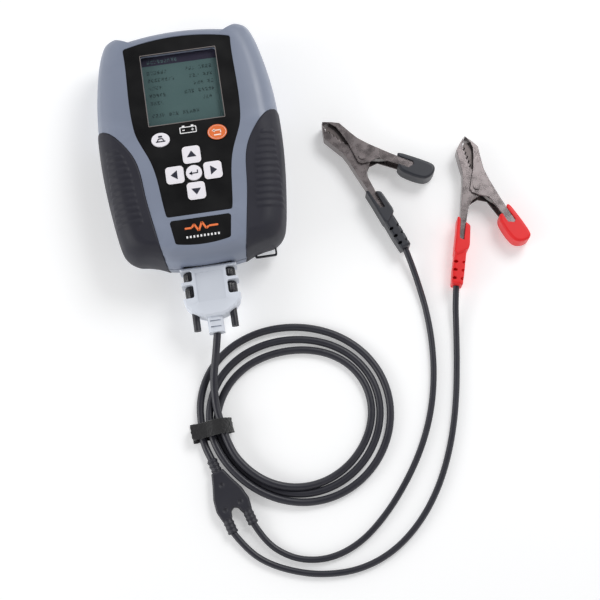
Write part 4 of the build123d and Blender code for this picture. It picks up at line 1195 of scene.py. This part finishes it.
def strap(path, width, thick, closed, ragged):
    """Flat band along a path in the upright plane across the turns; an open one narrows."""
    count, strips = len(path), STRAP_STRIPS
    verts, faces = [], []
    turn = math.radians(TIE_TURN)
    for side in (0, 1):
        for i, (x, z) in enumerate(path):
            after = path[(i + 1) % count] if closed or i < count - 1 else path[i]
            before = path[i - 1] if closed or i > 0 else path[i]
            run = Vector((after[0] - before[0], after[1] - before[1])).normalized()
            px, pz = x - run.y * thick * (side - 0.5), z + run.x * thick * (side - 0.5)
            end = 0.0 if closed else max(0.0, 1 - (count - 1 - i) / 3)
            for k in range(strips):
                y = (k / (strips - 1) - 0.5) * width * (1 - 0.25 * end)
                wave = ragged * math.sin(i * 1.3 + k * 2.1)
                rx, ry = px + wave, y
                verts.append((
                    (TIE_X + rx * math.cos(turn) - ry * math.sin(turn)) * MM,
                    (TIE_Y + rx * math.sin(turn) + ry * math.cos(turn)) * MM,
                    max(STRAP_FLOOR, pz) * MM,
                ))
    layer = count * strips
    rows = count if closed else count - 1
    for i in range(rows):
        a, b = i * strips, (i + 1) % count * strips
        for k in range(strips - 1):
            faces.append((a + k, b + k, b + k + 1, a + k + 1))
            faces.append((layer + a + k + 1, layer + b + k + 1, layer + b + k, layer + a + k))
        for k in (0, strips - 1):
            faces.append((a + k, b + k, layer + b + k, layer + a + k))
    if not closed:
        for i in (0, count - 1):
            for k in range(strips - 1):
                a = i * strips + k
                faces.append((a, a + 1, layer + a + 1, layer + a))
    return verts, faces


splitter()
tie()


# ---------------------------------------------------------------- jackscrew knobs
SCREW_X = 12.495
SCREW_Z = 19.0
KNOB_RADIUS = 4.9
KNOB_STRETCHES = [(-84.6, -92.3), (-94.3, -103.7)]
KNOB_ROWS = 12
KNOB_FLUTES = 18
FLUTE_DEPTH = 0.16
FLUTE_POINTS = 6


def knob(name, x, body):
    """Fluted barrels of a jackscrew, seen through the windows of the hood."""
    parts = []
    for near, far in KNOB_STRETCHES:
        rows = []
        for step in range(KNOB_ROWS + 1):
            share = step / KNOB_ROWS
            crown = (1 - abs(2 * share - 1) ** 5) ** 0.5
            rows.append((near + (far - near) * share, KNOB_RADIUS - 1.5 * (1 - crown)))
        count = KNOB_FLUTES * FLUTE_POINTS
        verts = []
        for y, radius in rows:
            depth = FLUTE_DEPTH if radius > KNOB_RADIUS - 0.4 else 0.0
            for i in range(count):
                angle = 2 * math.pi * i / count
                size = radius - depth * max(0.0, math.cos(angle * KNOB_FLUTES))
                verts.append((
                    (x + size * math.cos(angle)) * MM, y * MM,
                    (SCREW_Z + size * math.sin(angle)) * MM,
                ))
        faces = grid_faces(len(rows), count, wrap=True)
        faces.append(tuple(range(count)))
        faces.append(tuple(range((len(rows) - 1) * count, len(rows) * count)))
        parts.append((verts, faces))
    mesh = build_mesh(name, parts)
    smooth(new_piece(name, mesh, "knob", body), 40)


knob("left_screw_knob", -SCREW_X, "left_screw")
knob("right_screw_knob", SCREW_X, "right_screw")


# ---------------------------------------------------------------- clips
# each clip's rivet and its turn; its outlines below are drawn about the rivet, jaws up
CLIPS = {"black": (114.5, -18.0, 40.0), "red": (188.0, -51.0, 3.5)}
CLIP_Z = 7.2
CLIP_HIGH = 30.0  # well above a clip, for what is cut out of its covers
SLEEVE_EDGE = [
    (15.6, -19.2), (17.3, -16.6), (19.2, -18.4), (21.4, -23.2), (24.6, -31.0), (26.9, -37.6),
    (27.2, -41.2), (24.8, -43.7), (20.4, -44.4), (16.6, -43.2), (14.2, -40.4), (11.6, -34.8),
    (9.5, -27.5), (10.3, -23.0), (12.4, -22.2),
]
BOOT_BLOCK = [
    (-17.9, -18.2), (-16.2, -19.2), (-14.6, -22.0), (-12.2, -24.4), (-10.9, -26.4), (-14.6, -39.6),
    (-16.0, -42.0), (-24.6, -44.2), (-26.0, -42.0), (-20.7, -27.0),
]
BOOT_NECK = [
    (-24.8, -40.0), (-17.4, -42.4), (-19.6, -49.0), (-22.6, -57.6), (-25.6, -65.4), (-32.6, -62.9),
    (-29.6, -53.0),
]
FIXED_PLATE = [(-15.9, -17.0), (-20.2, -33.6), (-17.5, -35.5), (-13.4, -24.0), (-10.0, -15.6)]
LEVER_PLATE = [
    (11.0, -14.0), (14.6, -13.0), (17.4, -21.4), (20.0, -28.4), (18.8, -30.4), (14.4, -29.2),
    (11.9, -22.0),
]
BOOT_HOLES = [
    (-26.2, -48.6), (-28.0, -54.0), (-29.8, -59.4), (-21.0, -50.4), (-22.9, -55.8), (-24.9, -61.2),
]
BOOT_HOLE = (1.45, 1.05)
BOOT_TURN = -19.0


def placed(points, clip):
    """Outline drawn about a clip's rivet, moved to where that clip lies."""
    return moved(points, *CLIPS[clip])


def boot_holes(clip):
    """Dimples in the top and slots in the underside of a clip's lead boot."""
    outlines = [
        placed(moved(disc(0, 0, *BOOT_HOLE), x, y, BOOT_TURN), clip) for x, y in BOOT_HOLES
    ]
    dimples = [pillow(outline, 10.2, 20.0, 0.1, 0.5) for outline in outlines]
    return dimples + [prism(outline, -5.0, 2.2) for outline in outlines]


def clip_finish(clip):
    """Rubber covers of a clip's handles and its bevelled steel jaws."""
    body = f"{clip}_lever"
    look, slot = f"vinyl_{clip}", f"sleeve_{clip}"
    outline = placed(through(SLEEVE_EDGE, 4, closed=True), clip)
    pocket = prism(placed(LEVER_PLATE, clip), CLIP_Z + 6.1, CLIP_HIGH)
    moulded(
        f"{clip}_sleeve_moulding", [pillow(outline, 0.0, 2 * CLIP_Z, 1.5, 2.2, 5)], [pocket],
        0.36, 4, look, body, [f"{clip}_sleeve"],
    )
    block = placed(rounded(BOOT_BLOCK, 0.9, 3), clip)
    neck = placed(rounded(BOOT_NECK, 0.9, 3), clip)
    plate = prism(placed(FIXED_PLATE, clip), CLIP_Z + 4.75, CLIP_HIGH)
    moulded(
        f"{clip}_boot_moulding",
        [pillow(block, 0.0, 2 * CLIP_Z, 0.8, 1.6, 3), pillow(neck, 0.4, 13.3, 1.6, 1.6, 4)],
        [plate, *boot_holes(clip)], 0.34, 3, look, ROOT, [f"{clip}_boot"],
    )
    refined(f"{clip}_fixed_jaw", "clip", ROOT)
    refined(f"{clip}_moving_jaw", "clip", body)


clip_finish("black")
clip_finish("red")
